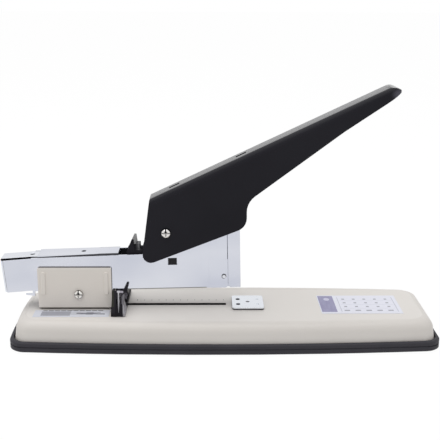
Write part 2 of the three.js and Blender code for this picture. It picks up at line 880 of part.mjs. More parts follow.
// Arm side plates, in the frame of the arm's pivot
function armOutline() {
  const ear = arm.earRadius;
  const crest = arm.crestHeight;
  return rounded([
    [arm.rear, arm.bottom - arm.tabHeight, 0],
    [arm.rear + arm.tabWidth, arm.bottom - arm.tabHeight, 0],
    [arm.rear + arm.tabWidth, arm.bottom, 0],
    [-ear, arm.bottom, 0],
    [-ear, -ear, ear * earShare],
    [ear, -ear, ear * earShare],
    [ear, arm.bottom, 0],
    [arm.front, arm.bottom, arm.corner],
    [arm.front, crest, arm.corner],
    [ramSpring.x - arm.corner * 4, crest, arm.corner],
    [handle.x, arm.shoulderHeight, arm.corner],
    [arm.riseStart + arm.riseLean, arm.shoulderHeight, arm.corner * 2],
    [arm.riseStart, arm.top, 0],
    [arm.rear, arm.topRear, arm.corner / 2],
  ]);
}

function buildArmPlate(side) {
  const inner = side * armInner;
  const outer = side * armOuter;
  const low = Math.min(inner, outer);
  const high = Math.max(inner, outer);
  const sheet = plateXZ(armOutline(), low, high);
  const tab = plateXZ(rounded([
    [arm.rear - arm.tabLength, arm.bottom - arm.tabHeight / 2 - arm.tabWidth / 2, 0],
    [arm.rear + arm.tabWidth, arm.bottom - arm.tabHeight, arm.tabWidth / 3],
    [arm.rear + arm.tabWidth, arm.bottom - arm.tabHeight / 2, 0],
    [arm.rear - arm.tabLength, arm.bottom - arm.tabHeight / 2, 0],
  ]), low, high);
  const padFace = side * padOuter;
  const pad = plateXZ(rounded(rectangle(arm.front - arm.padLength, arm.front,
    arm.bottom, arm.crestHeight, arm.corner)), Math.min(inner, padFace), Math.max(inner, padFace));
  const y0 = low - overrun;
  const y1 = high + overrun;
  const tools = [
    rodAlongY(pivot.boltRadius + gap, 0, 0, y0, y1),
    rodAlongY(handleBolt.radius + gap, handle.x, handle.z, y0, y1),
    rodAlongY(latch.pinRadius + gap, latch.pinX, latch.pinZ, y0, y1),
    rodAlongY(ramSpring.studRadius + gap, ramSpring.x, ramSpring.studZ, y0, y1),
    rodAlongY(headRivet.radius + gap, headRivet.x, headRivet.z, y0, y1),
    rodAlongY(spacer.radius * rivetShare + gap, spacer.x, spacer.z, y0, y1),
    box(windowPlug.x - windowPlug.length / 2, windowPlug.x + windowPlug.length / 2, y0, y1,
      windowPlug.z - windowPlug.height / 2, windowPlug.z + windowPlug.height / 2),
  ];
  return cut(join(sheet, tab, pad), ...tools);
}

// Nose: a folded guide round the driver, with a notch at its foot
function buildNose() {
  const body = box(noseRear, nose.front, -armOuter, armOuter, arm.bottom, arm.bottom + nose.height);
  const hollow = box(noseRear - overrun, noseInside, -armInner, armInner,
    arm.bottom - overrun, arm.bottom + nose.height + overrun);
  const notch = plateXZ([
    new THREE.Vector2(noseRear - overrun, arm.bottom - overrun),
    new THREE.Vector2(noseRear + nose.notchWidth, arm.bottom - overrun),
    new THREE.Vector2(noseRear + nose.notchWidth, arm.bottom),
    new THREE.Vector2(noseRear, arm.bottom + nose.notchHeight),
    new THREE.Vector2(noseRear - overrun, arm.bottom + nose.notchHeight),
  ], -armOuter - overrun, armOuter + overrun);
  return cut(body, hollow, notch);
}

// Bar along the magazine whose rear end leans in, and droops behind the arm plates
function droopingPlate(inset, front, low, high, half) {
  const rearAt = (z) => magazine.rear + inset + rearLeanAt(z);
  return plateXZ([
    new THREE.Vector2(rearAt(low), low - magazine.droop),
    new THREE.Vector2(arm.rear, low),
    new THREE.Vector2(front, low),
    new THREE.Vector2(front, high),
    new THREE.Vector2(arm.rear, high),
    new THREE.Vector2(rearAt(high), high - magazine.droop),
  ], -half, half);
}

// Magazine: an open channel, lower where the driver works
function buildMagazine() {
  const body = droopingPlate(0, channelFront, magazine.floor, magazineTop, magazineOuter);
  const hollow = droopingPlate(magazine.endSheet, channelFront + overrun, floorTop, magazineTop + overrun,
    magazineInner);
  const noseCut = box(channelFront - magazine.noseLength, channelFront + overrun,
    -magazineOuter - overrun, magazineOuter + overrun,
    magazineTop - magazine.noseDrop, magazineTop + overrun);
  const rivetHoles = rodAlongY(headRivet.radius + gap, headRivet.x, headRivet.z,
    -magazineOuter - overrun, magazineOuter + overrun);
  return cut(body, hollow, noseCut, rivetHoles);
}

// Rail that the staples ride on, slotted for the pusher's tongue
function buildRail() {
  const front = channelFront - gap;
  const body = box(rail.rear, front, -railOuter, railOuter, railFloor, railTop);
  const hollow = box(rail.rear - overrun, front - rail.sheet, -railOuter + rail.sheet, railOuter - rail.sheet,
    railFloor - overrun, railTop - rail.sheet);
  const opening = box(rail.rear + rail.slotEnd, front - rail.slotEnd, -rail.slotWidth / 2, rail.slotWidth / 2,
    railTop - rail.sheet - overrun, railTop + overrun);
  return cut(body, hollow, opening);
}

function buildRod() {
  return rodAlongX(rod.radius, 0, rodZ, springRear, channelFront - rail.sheet - gap * 2);
}

function buildPusher() {
  const rear = pusher.front - pusher.length;
  const legInner = railOuter + gap;
  const legOuter = magazineInner - gap / 2;
  const slabFloor = railTop + gap;
  const slab = box(rear, pusher.front, -legOuter, legOuter, slabFloor, slabFloor + pusher.slab);
  const legs = [-1, 1].map((side) => box(rear, pusher.front + pusher.noseReach - gap,
    Math.min(side * legInner, side * legOuter), Math.max(side * legInner, side * legOuter),
    railTop - pusher.legDrop, slabFloor + gap * 2));
  const tongue = box(rear, rear + pusher.length / 2, -rail.slotWidth / 2 + gap, rail.slotWidth / 2 - gap,
    rodZ - rod.radius * 2, slabFloor + gap * 2);
  const block = box(rear, rear + pusher.length / 2, -railOuter + rail.sheet + gap, railOuter - rail.sheet - gap,
    rodZ - rod.radius * 2, rodZ + rod.radius * 2);
  const bore = rodAlongX(rod.radius + gap, 0, rodZ, rear - overrun, rear + pusher.length);
  return cut(join(slab, ...legs, tongue, block), bore);
}

function buildPusherSpring() {
  const front = pusher.front - pusher.length - gap;
  const tube = rodAlongX(pusherSpring.radius, 0, rodZ, springRear, front);
  const hole = rodAlongX(pusherSpring.radius - pusherSpring.wire, 0, rodZ, springRear - overrun, front + overrun);
  return cut(tube, hole);
}

add('arm_plate_near', buildArmPlate(-1), 'chrome', tilted);
add('arm_plate_far', buildArmPlate(1), 'chrome', tilted);
add('nose_guide', buildNose(), 'chrome', tilted);
add('magazine_channel', buildMagazine(), 'chrome', tilted);
add('staple_rail', buildRail(), 'steel', tilted);
add('pusher_rod', buildRod(), 'steel', tilted);
add('pusher', buildPusher(), 'steel', tilted);
add('pusher_spring', buildPusherSpring(), 'steel', tilted);

// Strip that covers the magazine and pulls out to the rear
function buildCover() {
  const strip = droopingPlate(-cover.pull, cover.front, coverFloor, coverTop, cover.halfWidth);
  const end = cut(
    droopingPlate(-cover.pull, arm.rear, magazine.floor, coverFloor + cover.sheet / 2, cover.halfWidth),
    droopingPlate(-gap, arm.rear + overrun, magazine.floor - overrun, coverFloor, cover.halfWidth + overrun),
  );
  const hole = rodAlongZ(cover.holeRadius, cover.holeX, 0, coverFloor - overrun, coverTop + overrun);
  return cut(join(strip, end), hole);
}

// Fixed strip over its front half, rising toward the latch
function buildSleeve() {
  const low = coverTop + gap;
  const top = plateXZ([
    new THREE.Vector2(sleeve.rear, low),
    new THREE.Vector2(cover.front, low + sleeve.rise),
    new THREE.Vector2(cover.front, low + sleeve.rise + sleeve.sheet),
    new THREE.Vector2(sleeve.rear, low + sleeve.sheet),
  ], -magazineOuter, magazineOuter);
  const flanges = [-1, 1].map((side) => {
    const inner = side * (cover.halfWidth + gap);
    const outer = side * magazineOuter;
    return plateXZ([
      new THREE.Vector2(sleeve.rear, magazineTop + gap),
      new THREE.Vector2(cover.front, magazineTop + gap),
      new THREE.Vector2(cover.front, low + sleeve.rise + sleeve.sheet / 2),
      new THREE.Vector2(sleeve.rear, low + sleeve.sheet / 2),
    ], Math.min(inner, outer), Math.max(inner, outer));
  });
  const hole = rodAlongZ(cover.holeRadius, sleeve.holeX, 0, low - overrun, low + overrun * 2);
  return cut(join(top, ...flanges), hole);
}

// Latch with two finger fins, rocking on its pin
function buildLatch() {
  const half = latch.halfWidth;
  const floor = magazineTop + gap * 2;
  const blockRear = cover.front + gap;
  const barTop = floor + latch.barHeight;
  const block = plateXZ([
    new THREE.Vector2(blockRear, floor),
    new THREE.Vector2(blockRear + latch.blockLength + latch.chamfer, floor),
    new THREE.Vector2(blockRear + latch.blockLength + latch.chamfer, floor + latch.blockHeight),
    new THREE.Vector2(blockRear + latch.chamfer, floor + latch.blockHeight),
  ], -half, half);
  const bar = plateXZ(rounded([
    [latch.barRear, floor, 0],
    [latch.pinX + latch.hubRadius * hookShare, floor, 0],
    [latch.pinX + latch.hubRadius * hookShare, barTop, 0],
    [latch.barRear, barTop, latch.chamfer / 2],
  ], facets.bend), -half, half);
  const hub = rodAlongY(latch.hubRadius, latch.pinX, latch.pinZ, -half, half);
  const fins = [-1, 1].map((side, i) => plateXZ([
    new THREE.Vector2(latch.finRear, barTop - latch.chamfer / 2),
    new THREE.Vector2(latch.finFronts[i], barTop - latch.chamfer / 2),
    new THREE.Vector2(latch.finTip + latch.finShifts[i] + latch.finWidth / 2, barTop + latch.finHeights[i]),
    new THREE.Vector2(latch.finTip + latch.finShifts[i] - latch.finWidth / 3, barTop + latch.finHeights[i]),
  ], Math.min(side * half, side * (half - latch.finWidth)), Math.max(side * half, side * (half - latch.finWidth))));
  const post = box(latch.postRear, latch.postFront, -latch.postWidth, latch.postWidth,
    barTop - latch.chamfer / 2, barTop + latch.postHeight);
  const bore = rodAlongY(latch.pinRadius + gap, latch.pinX, latch.pinZ, -half - overrun, half + overrun);
  return cut(join(block, bar, hub, ...fins, post), bore);
}

add('magazine_cover', buildCover(), 'chrome', tilted);
add('cover_sleeve', buildSleeve(), 'chrome', tilted);
add('magazine_latch', buildLatch(), 'blackPlastic', tilted);
add('latch_pin', rodAlongY(latch.pinRadius, latch.pinX, latch.pinZ, -armOuter, armOuter), 'steel', tilted);

// Plugs in the side windows
function buildPlug(side) {
  const inner = side * (armInner - gap / 2);
  const outer = side * (armInner + windowPlug.sheet);
  return box(windowPlug.x - windowPlug.length / 2 + gap, windowPlug.x + windowPlug.length / 2 - gap,
    Math.min(inner, outer), Math.max(inner, outer),
    windowPlug.z - windowPlug.height / 2 + gap, windowPlug.z + windowPlug.height / 2 - gap);
}

function buildHeadRivet(side) {
  const seat = side * (padOuter + gap);
  const face = side * (padOuter + gap + headRivet.headHeight);
  const tail = side * (magazineInner + gap / 2);
  const { x, z } = headRivet;
  const head = rodAlongY(headRivet.headRadius, x, z, Math.min(seat, face), Math.max(seat, face));
  const shank = rodAlongY(headRivet.radius, x, z, Math.min(tail, face), Math.max(tail, face));
  return join(head, shank);
}

// Spacer tube with its rivet between the side plates
function buildSpacer() {
  const tube = rodAlongY(spacer.radius, spacer.x, spacer.z, -armInner + gap, armInner - gap);
  const rivet = rodAlongY(spacer.radius * rivetShare, spacer.x, spacer.z, -armOuter, armOuter);
  return join(tube, rivet);
}

for (const [word, side] of [['near', -1], ['far', 1]]) {
  add(`window_plug_${word}`, buildPlug(side), 'blackPlastic', tilted);
  add(`head_rivet_${word}`, buildHeadRivet(side), 'steel', tilted);
}
add('frame_spacer', buildSpacer(), 'steel', tilted);

// Handle: a tapering channel of bent sheet, in the frame of its own pivot
const [rearX, rearZ] = handle.rearTop;
const topAngle = Math.atan2(handle.topEnd[1] - rearZ, handle.topEnd[0] - rearX);

// Prism with a round-edged top that lies along the handle's top line, lowered by a skin
function topPrism(half, radius, skin) {
  const reach = handle.tip[0] * 2;
  const profile = rounded([
    [-half, -reach, 0], [half, -reach, 0], [half, -skin, radius], [-half, -skin, radius],
  ]);
  const prism = plateYZ(profile, -reach, reach);
  prism.rotateY(-topAngle);
  prism.translate(rearX, 0, rearZ);
  return prism;
}

// Upright prism over the handle's plan, with rounded corners at the tip
function planPrism(half, end, radius) {
  const reach = handle.tip[0] * 2;
  return plateXY(rounded([[-reach, -half, 0], [end, -half, radius], [end, half, radius], [-reach, half, 0]]),
    -reach, reach);
}

function buildHandle() {
  const outline = rounded([
    [...handle.rearTop, handle.rearTopRadius],
    [...handle.heel, handle.heelRadius],
    [...handle.toe, handle.toeRadius],
    [...handle.throat, handle.throatRadius],
    [...handle.underBend, handle.underBendRadius],
    [...handle.tip, handle.tipRadius],
    [...handle.topEnd, handle.topEndRadius],
  ]);
  const blank = toSolid(plateXZ(outline, -handleOuter - overrun, handleOuter + overrun))
    .intersect(toSolid(topPrism(handleOuter, handle.bend, 0)))
    .intersect(toSolid(planPrism(handleOuter, handle.tip[0], handle.tipPlanRadius)));
  const hollow = toSolid(planPrism(handleInner, handle.tip[0] - handle.tipWall, handle.hollowPlanRadius))
    .intersect(toSolid(topPrism(handleInner, handle.bend - handle.sheet, handle.sheet)));
  const slots = handle.slotPlaces.map((place) => onTopLine(box(
    place - handle.slotLength / 2, place + handle.slotLength / 2,
    -handle.slotWidth / 2, handle.slotWidth / 2, -handle.sheet - overrun, overrun)));
  const bore = rodAlongY(handleBolt.radius + gap, 0, 0, -handleOuter - overrun, handleOuter + overrun);
  return cut(toGeometry(blank.subtract(hollow)), bore, ...slots);
}

// Moves a shape made along X onto the handle's top line, its zero height on the outer face
function onTopLine(geometry) {
  geometry.rotateY(-topAngle);
  geometry.translate(rearX, 0, rearZ);
  return geometry;
}

function topLinePoint(place, depth) {
  return new THREE.Vector2(
    rearX + place * Math.cos(topAngle) + depth * Math.sin(topAngle),
    rearZ + place * Math.sin(topAngle) - depth * Math.cos(topAngle),
  );
}

// Turns a point from the arm's frame to the handle's frame
function fromArm(x, z) {
  return new THREE.Vector2(x, z).rotateAround(new THREE.Vector2(), THREE.MathUtils.degToRad(pivot.restTilt));
}

// Drive lever: hub, web and pressing nose, hung by two tabs in the handle's top slots
function buildLever() {
  const nosePlace = fromArm(lever.noseX, lever.noseZ);
  const under = handle.sheet + gap;
  const [firstSlot, lastSlot] = handle.slotPlaces;
  const web = plateXZ([
    new THREE.Vector2(-lever.hubRadius * earShare, 0),
    new THREE.Vector2(0, -lever.hubRadius * earShare),
    new THREE.Vector2(nosePlace.x - lever.noseRadius * earShare, nosePlace.y),
    new THREE.Vector2(nosePlace.x + lever.noseRadius * earShare, nosePlace.y),
    new THREE.Vector2(lever.waistX, lever.waistZ),
    topLinePoint(lastSlot + handle.slotLength / 2, under),
    topLinePoint(firstSlot - handle.slotLength / 2, under),
  ], -lever.halfWidth, lever.halfWidth);
  const hub = rodAlongY(lever.hubRadius, 0, 0, -lever.halfWidth, lever.halfWidth, facets.screw);
  const noseRod = rodAlongY(lever.noseRadius, nosePlace.x, nosePlace.y, -lever.nosePad, lever.nosePad, facets.screw);
  const tabs = handle.slotPlaces.map((place) => onTopLine(box(
    place - handle.slotLength / 2 + gap, place + handle.slotLength / 2 - gap,
    -lever.tabHalf, lever.tabHalf, -under * 2, -lever.tabBelow)));
  const bore = rodAlongY(handleBolt.bushRadius + gap, 0, 0, -lever.halfWidth - overrun, lever.halfWidth + overrun);
  return cut(join(hub, web, noseRod, ...tabs), bore);
}

function buildBush() {
  const tube = rodAlongY(handleBolt.bushRadius, handle.x, handle.z, -bushHalf, bushHalf);
  const bore = rodAlongY(handleBolt.radius + gap, handle.x, handle.z, -armInner - overrun, armInner + overrun);
  return cut(tube, bore);
}

add('handle_shell', buildHandle(), 'blackPaint', onHandle);
add('drive_lever', buildLever(), 'steel', onHandle);
add('handle_bolt', buildBolt(handleBolt, handleBolt.radius, handle.x, handle.z, handleOuter), 'chrome', tilted);
add('handle_nut', buildNut(handleBolt, handleBolt.radius, handle.x, handle.z, handleOuter), 'steel', tilted);
add('handle_bush', buildBush(), 'steel', tilted);

// Driver: a ram with a side lug for its spring, and the thin blade in front
const ramTop = handle.z + lever.noseZ - lever.noseRadius - gap;
const ramFront = bladeRear - gap;
const lugFloor = ramTop - driver.ramHeight + driver.lugLift;
const lugTop = lugFloor + driver.lugHeight;

function buildRam() {
  const ramRear = ramFront - driver.ramDepth;
  const block = box(ramRear, ramFront, -driver.halfWidth, driver.halfWidth, ramTop - driver.ramHeight, ramTop);
  const springSide = ramSpring.radius + ramSpring.wire / 2;
  const lug = box(driver.lugRear, ramRear + gap * 2, ramSpring.y - springSide, ramSpring.y + springSide - gap,
    lugFloor, lugTop);
  return join(block, lug);
}

function buildRamStud() {
  const near = ramSpring.y - ramSpring.radius - ramSpring.wire / 2;
  return rodAlongY(ramSpring.studRadius, ramSpring.x, ramSpring.studZ, near, armOuter);
}

add('driver_ram', buildRam(), 'steel', tilted);
add('driver_blade', box(bladeRear, bladeFront, -driver.halfWidth, driver.halfWidth, driver.bladeFoot, ramTop),
  'steel', tilted);
add('ram_spring_stud', buildRamStud(), 'steel', tilted);

// Springs
const coilGaps = [];
function spring(name, size, length, place, parent) {
  const { geometry, leastGap } = coil(size.radius, size.wire, size.curls, length);
  coilGaps.push(leastGap);
  place(geometry);
  add(name, geometry, 'steel', parent);
}

const armSpringFloor = bracketWebTop + gap;
const tiltAngle = THREE.MathUtils.degToRad(pivot.restTilt);
const armSpringX = pivot.x + armSpring.x;
const channelUnder = pivotZ + magazine.floor * Math.cos(tiltAngle)
  + (armSpring.x - armSpring.radius - armSpring.wire / 2) * Math.sin(tiltAngle);
spring('arm_spring', armSpring, channelUnder - gap - armSpringFloor,
  (geometry) => geometry.translate(armSpringX, 0, armSpringFloor), stapler);

spring('handle_spring', handleSpring, bushHalf - lever.halfWidth - gap, (geometry) => {
  geometry.rotateX(Math.PI / 2);
  geometry.translate(handle.x, -lever.halfWidth - gap, handle.z);
}, tilted);

spring('ram_spring', ramSpring, ramSpring.studZ - ramSpring.studRadius - gap * 2 - lugTop,
  (geometry) => geometry.translate(ramSpring.x, ramSpring.y, lugTop + gap), tilted);

console.log(`Least gap of a spring to itself: ${Math.min(...coilGaps).toFixed(2)} mm`);

// Paper stop: a saddle with an open wing on each side of the arm, and a horn on each for the fingers
const stopRear = bracket.front + gap;
const wingTopZ = stopFloor + stop.wingTop;

function onStop(outline, half) {
  return plateXZ(outline.map(([x, z]) => new THREE.Vector2(stopRear + x, stopFloor + z)), -half, half);
}

// Both wings in full, with the bridge between them, their slanting faces set back
function fullWings(setBack) {
  const half = [
    [stop.footHalf - setBack, stopFloor],
    [stop.footHalf - setBack, stopFloor + stop.footHeight],
    [stop.wingTopHalf - setBack, wingTopZ],
    [stop.wingInner - setBack, wingTopZ],
    [stop.wingInner - setBack, stopFloor + stop.bridge],
  ];
  const mirrored = half.map(([y, z]) => [-y, z]).reverse();
  return plateYZ([...half, ...mirrored].map(([y, z]) => new THREE.Vector2(y, z)),
    stopRear - overrun, stopRear + stop.length + overrun);
}

// Rear wall, top bar and curved fin, seen from the front, with the open window between them
function wingFrame() {
  const barFloor = stop.wingTop - stop.topBar;
  return [
    [0, 0], [stop.footLength, 0], [stop.footLength, stop.footHeight], [stop.finFoot, stop.footHeight],
    ...[...stop.finFront].reverse(), ...[...stop.finRear].reverse(),
    [stop.rearWall, stop.sillHeight], [stop.rearWall, barFloor],
    [stop.length, barFloor], [stop.length, stop.wingTop], [0, stop.wingTop],
  ];
}

function buildStop() {
  const reach = stop.footHalf + overrun;
  const wings = toSolid(fullWings(0));
  const pocket = toSolid(onStop([
    [stop.rearWall, stop.footHeight], [stop.pocketFront, stop.footHeight],
    [stop.pocketFront, stop.wingTop - stop.topBar], [stop.rearWall, stop.wingTop - stop.topBar],
  ], reach)).subtract(toSolid(fullWings(stop.recess)));
  const frame = toSolid(onStop(wingFrame(), reach)).intersect(wings).subtract(pocket);
  const rib = toSolid(onStop([
    [stop.ribFoot, 0], [stop.ribFoot + stop.ribWidth, 0],
    [stop.ribHead + stop.ribWidth, stop.wingTop], [stop.ribHead, stop.wingTop],
  ], reach)).intersect(wings);
  const horns = toSolid(onStop(rounded([
    [stop.hornRear, stop.wingTop - stop.topBar, 0], [stop.hornFront, stop.wingTop - stop.topBar, 0],
    [stop.hornFront, stop.wingTop, 0], [stop.hornTipFront, stop.hornTop, stop.hornTipRadius],
    [stop.hornTipRear, stop.hornTop, stop.hornTipRadius], [stop.hornRear, stop.wingTop, 0],
  ]).map((point) => point.toArray()), stop.wingTopHalf)).subtract(toSolid(onStop([
    [0, 0], [stop.length * 2, 0], [stop.length * 2, stop.hornTop * 2], [0, stop.hornTop * 2],
  ], stop.wingInner)));
  const stemRear = stopRear + stop.stemInset;
  const stemHalf = slot.width / 2 - gap;
  const stem = box(stemRear, stemRear + stop.stemLength, -stemHalf, stemHalf,
    beamUnder - gap - stop.clampSheet, stopFloor + stop.bridge / 2);
  return toGeometry(frame.add(rib).add(horns).add(toSolid(stem)));
}

function buildStopClamp() {
  const stemRear = stopRear + stop.stemInset;
  const stemHalf = slot.width / 2;
  const top = beamUnder - gap;
  const body = box(stemRear - stop.clampReach, stemRear + stop.stemLength + stop.clampReach,
    -stop.clampHalf, stop.clampHalf, top - stop.clampSheet, top);
  const hole = box(stemRear - gap, stemRear + stop.stemLength + gap, -stemHalf, stemHalf,
    top - stop.clampSheet - overrun, top + overrun);
  return cut(body, hole);
}

add('paper_stop', buildStop(), 'blackPlastic');
add('stop_clamp', buildStopClamp(), 'darkSteel');

export default stapler;
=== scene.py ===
import json
import math

import bmesh
import bpy
from mathutils import Matrix, Vector


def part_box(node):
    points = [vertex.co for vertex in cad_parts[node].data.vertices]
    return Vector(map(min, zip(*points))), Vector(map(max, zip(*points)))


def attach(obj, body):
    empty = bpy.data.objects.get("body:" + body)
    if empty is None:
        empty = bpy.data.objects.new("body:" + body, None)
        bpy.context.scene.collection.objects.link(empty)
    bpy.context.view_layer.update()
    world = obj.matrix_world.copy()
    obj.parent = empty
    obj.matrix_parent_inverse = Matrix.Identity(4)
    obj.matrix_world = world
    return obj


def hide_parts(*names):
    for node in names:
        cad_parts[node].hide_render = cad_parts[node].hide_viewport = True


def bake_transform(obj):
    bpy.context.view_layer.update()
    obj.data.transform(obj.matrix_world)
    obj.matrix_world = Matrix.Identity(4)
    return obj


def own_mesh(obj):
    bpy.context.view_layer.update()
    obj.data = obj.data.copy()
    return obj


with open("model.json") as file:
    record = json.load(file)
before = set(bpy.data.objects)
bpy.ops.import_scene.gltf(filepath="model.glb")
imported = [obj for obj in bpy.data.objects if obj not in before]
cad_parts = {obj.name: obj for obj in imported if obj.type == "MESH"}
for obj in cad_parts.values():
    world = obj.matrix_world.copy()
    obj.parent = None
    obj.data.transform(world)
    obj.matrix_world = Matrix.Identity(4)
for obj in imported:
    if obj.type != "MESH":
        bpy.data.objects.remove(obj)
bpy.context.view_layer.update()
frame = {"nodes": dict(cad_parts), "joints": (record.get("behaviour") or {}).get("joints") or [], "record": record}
MM = 0.001


# What the frame says of the solids and joints, in millimetres
def tenth(place):
    return round(place, 1)


def corners(node):
    """Lowest and highest corner of a solid."""
    return [Vector(corner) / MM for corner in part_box(node)]


def joint_of(name):
    return next(joint for joint in frame["joints"] if joint["name"] == name)


def pivot_of(name):
    return Vector([tenth(place / MM) for place in joint_of(name)["pos_m"]])


def travel_of(name):
    """The longest way a joint goes, in millimetres or in radians."""
    joint = joint_of(name)
    if joint["type"] == "hinge":
        return math.radians(max(joint["range_deg"]))
    return max(joint["range_m"]) / MM


def body_of_node(node):
    return next(body for body, nodes in frame["record"]["behaviour"]["bodies"].items() if node in nodes)


RUNNING_GAP = 0.3
ARM_PIVOT = pivot_of("arm_pivot")
HANDLE_PIVOT = pivot_of("handle_pivot")
COVER_AXIS = joint_of("cover_slide")["axis"]
TILT = math.radians(tenth(math.degrees(math.atan2(-COVER_AXIS[2], -COVER_AXIS[0]))))
BASE_TOP = tenth(corners("base_shell")[1].z)
BRACKET_REAR, BRACKET_NEAR, BRACKET_FOOT = map(tenth, corners("pivot_bracket")[0])
BRACKET_FRONT, _, BRACKET_TOP = map(tenth, corners("pivot_bracket")[1])
STOP_REAR = tenth(corners("paper_stop")[0].x)
STOP_FLOOR = BASE_TOP + RUNNING_GAP
HANDLE_HIGH = corners("handle_shell")[1]
TIP_BEHIND_END, TIP_BELOW_TOP = 2.57, 4.14
TIP = Vector((HANDLE_HIGH.x - TIP_BEHIND_END, 0, HANDLE_HIGH.z - TIP_BELOW_TOP))

# Camera and lamp, in metres and degrees
CAMERA_PLACE = (-0.01062, -0.54984, 0.23533)
CAMERA_LENS, CAMERA_SENSOR, CAMERA_REACH = 69.6, 36, 20
PITCH, YAW, ROLL = (math.radians(angle) for angle in (15.81, 0.81, 0.20))
LAMP_PLACE, LAMP_TARGET = (-0.16, -0.10, 1.1), (0, 0, 0.03)
LAMP_SIZE, LAMP_POWER = (1.5, 1.1), 7.2


def make_camera():
    data = bpy.data.cameras.new("camera")
    data.sensor_width = CAMERA_SENSOR
    data.lens = CAMERA_LENS
    data.clip_end = CAMERA_REACH
    camera = bpy.data.objects.new("camera", data)
    ahead = Vector((math.sin(YAW) * math.cos(PITCH), math.cos(YAW) * math.cos(PITCH), -math.sin(PITCH)))
    right = Vector((math.cos(YAW), -math.sin(YAW), 0))
    above = right.cross(ahead)
    right_rolled = right * math.cos(ROLL) + above * math.sin(ROLL)
    above_rolled = above * math.cos(ROLL) - right * math.sin(ROLL)
    turn = Matrix((right_rolled, above_rolled, -ahead)).transposed().to_4x4()
    camera.matrix_world = Matrix.Translation(CAMERA_PLACE) @ turn
    bpy.context.collection.objects.link(camera)
    bpy.context.scene.camera = camera


def make_softbox():
    data = bpy.data.lights.new("overhead_softbox", "AREA")
    data.shape = "RECTANGLE"
    data.size, data.size_y = LAMP_SIZE
    data.energy = LAMP_POWER
    lamp = bpy.data.objects.new("overhead_softbox", data)
    lamp.location = LAMP_PLACE
    lamp.rotation_euler = (Vector(LAMP_TARGET) - Vector(LAMP_PLACE)).to_track_quat("-Z", "Y").to_euler()
    bpy.context.collection.objects.link(lamp)


# Shader maths: a wire is a socket with arithmetic
class Wire:
    def __init__(self, paint, socket):
        self.paint = paint
        self.socket = socket

    def math(self, operation, *others):
        return self.paint.node("ShaderNodeMath", {"operation": operation}, [self, *others])

    def __add__(self, other):
        return self.math("ADD", other)

    def __sub__(self, other):
        return self.math("SUBTRACT", other)

    def __rsub__(self, other):
        return self.paint.node("ShaderNodeMath", {"operation": "SUBTRACT"}, [other, self])

    def __mul__(self, other):
        return self.math("MULTIPLY", other)

    def __truediv__(self, other):
        return self.math("DIVIDE", other)

    __radd__ = __add__
    __rmul__ = __mul__

    def size(self):
        return self.math("ABSOLUTE")

    def root(self):
        return self.math("SQRT")

    def fraction(self):
        """How far into its step a repeated pattern is, from 0 to 1."""
        return self.math("FRACT")

    def capped(self, most=1.0):
        return self.math("MINIMUM", most)

    def over(self, edge):
        return self.math("GREATER_THAN", edge)

    def under(self, edge):
        return self.math("LESS_THAN", edge)

    def between(self, low, high):
        return self.over(low) * self.under(high)


class Paint:
    """A material under construction, with its own node tree."""

    NOISE_LOW, NOISE_HIGH = 0.3, 0.7

    def __init__(self, name, **constants):
        self.material = bpy.data.materials.new(name)
        self.material.use_nodes = True
        self.tree = self.material.node_tree
        self.shader = self.tree.nodes["Principled BSDF"]
        for socket, value in constants.items():
            self.shader.inputs[socket.replace("_", " ")].default_value = value

    def node(self, kind, settings=None, inputs=None, out=0):
        made = self.tree.nodes.new(kind)
        for key, value in (settings or {}).items():
            setattr(made, key, value)
        pairs = enumerate(inputs) if isinstance(inputs, list) else (inputs or {}).items()
        for key, value in pairs:
            if isinstance(value, Wire):
                self.tree.links.new(value.socket, made.inputs[key])
            else:
                made.inputs[key].default_value = value
        return Wire(self, made.outputs[out])

    def place(self):
        return self.node("ShaderNodeTexCoord", out="Object")

    def axes(self):
        """Object coordinates in millimetres."""
        scaled = self.node("ShaderNodeVectorMath", {"operation": "SCALE"}, {0: self.place(), "Scale": 1 / MM})
        split = self.node("ShaderNodeSeparateXYZ", inputs=[scaled])
        outputs = split.socket.node.outputs
        return [Wire(self, outputs[i]) for i in range(3)]

    def arm_axes(self):
        """Millimetres along, across and above the arm, from its pivot."""
        x, y, z = self.axes()
        along = (x - ARM_PIVOT.x) * math.cos(TILT) + (z - ARM_PIVOT.z) * math.sin(TILT)
        above = (z - ARM_PIVOT.z) * math.cos(TILT) - (x - ARM_PIVOT.x) * math.sin(TILT)
        return along, y, above

    def noise(self, scale, detail=3.0, roughness=0.5, stretch=None):
        where = self.place()
        if stretch:
            where = self.node("ShaderNodeMapping", inputs={"Vector": where, "Scale": stretch})
        return self.node("ShaderNodeTexNoise", inputs={
            "Vector": where, "Scale": scale, "Detail": detail, "Roughness": roughness})

    def ramp(self, wire, start, end, low, high, kind="LINEAR"):
        """Carries start to end of a wire onto low to high."""
        return self.node("ShaderNodeMapRange", {"interpolation_type": kind}, {
            "Value": wire, "From Min": start, "From Max": end, "To Min": low, "To Max": high})

    def spread(self, noise, low=0.0, high=1.0):
        """Carries the middle of a noise onto a range."""
        return self.ramp(noise, self.NOISE_LOW, self.NOISE_HIGH, low, high)

    def blend(self, factor, first, second):
        mixer = self.node("ShaderNodeMix", {"data_type": "RGBA"})
        node = mixer.socket.node
        for slot, value in ((0, factor), (6, first), (7, second)):
            if isinstance(value, Wire):
                self.tree.links.new(value.socket, node.inputs[slot])
            else:
                node.inputs[slot].default_value = (*value, 1)
        return Wire(self, node.outputs[2])

    def send(self, socket, wire):
        self.tree.links.new(wire.socket, self.shader.inputs[socket])

    def bump(self, height, strength, distance):
        normal = self.node("ShaderNodeBump", inputs={
            "Height": height, "Strength": strength, "Distance": distance})
        self.send("Normal", normal)


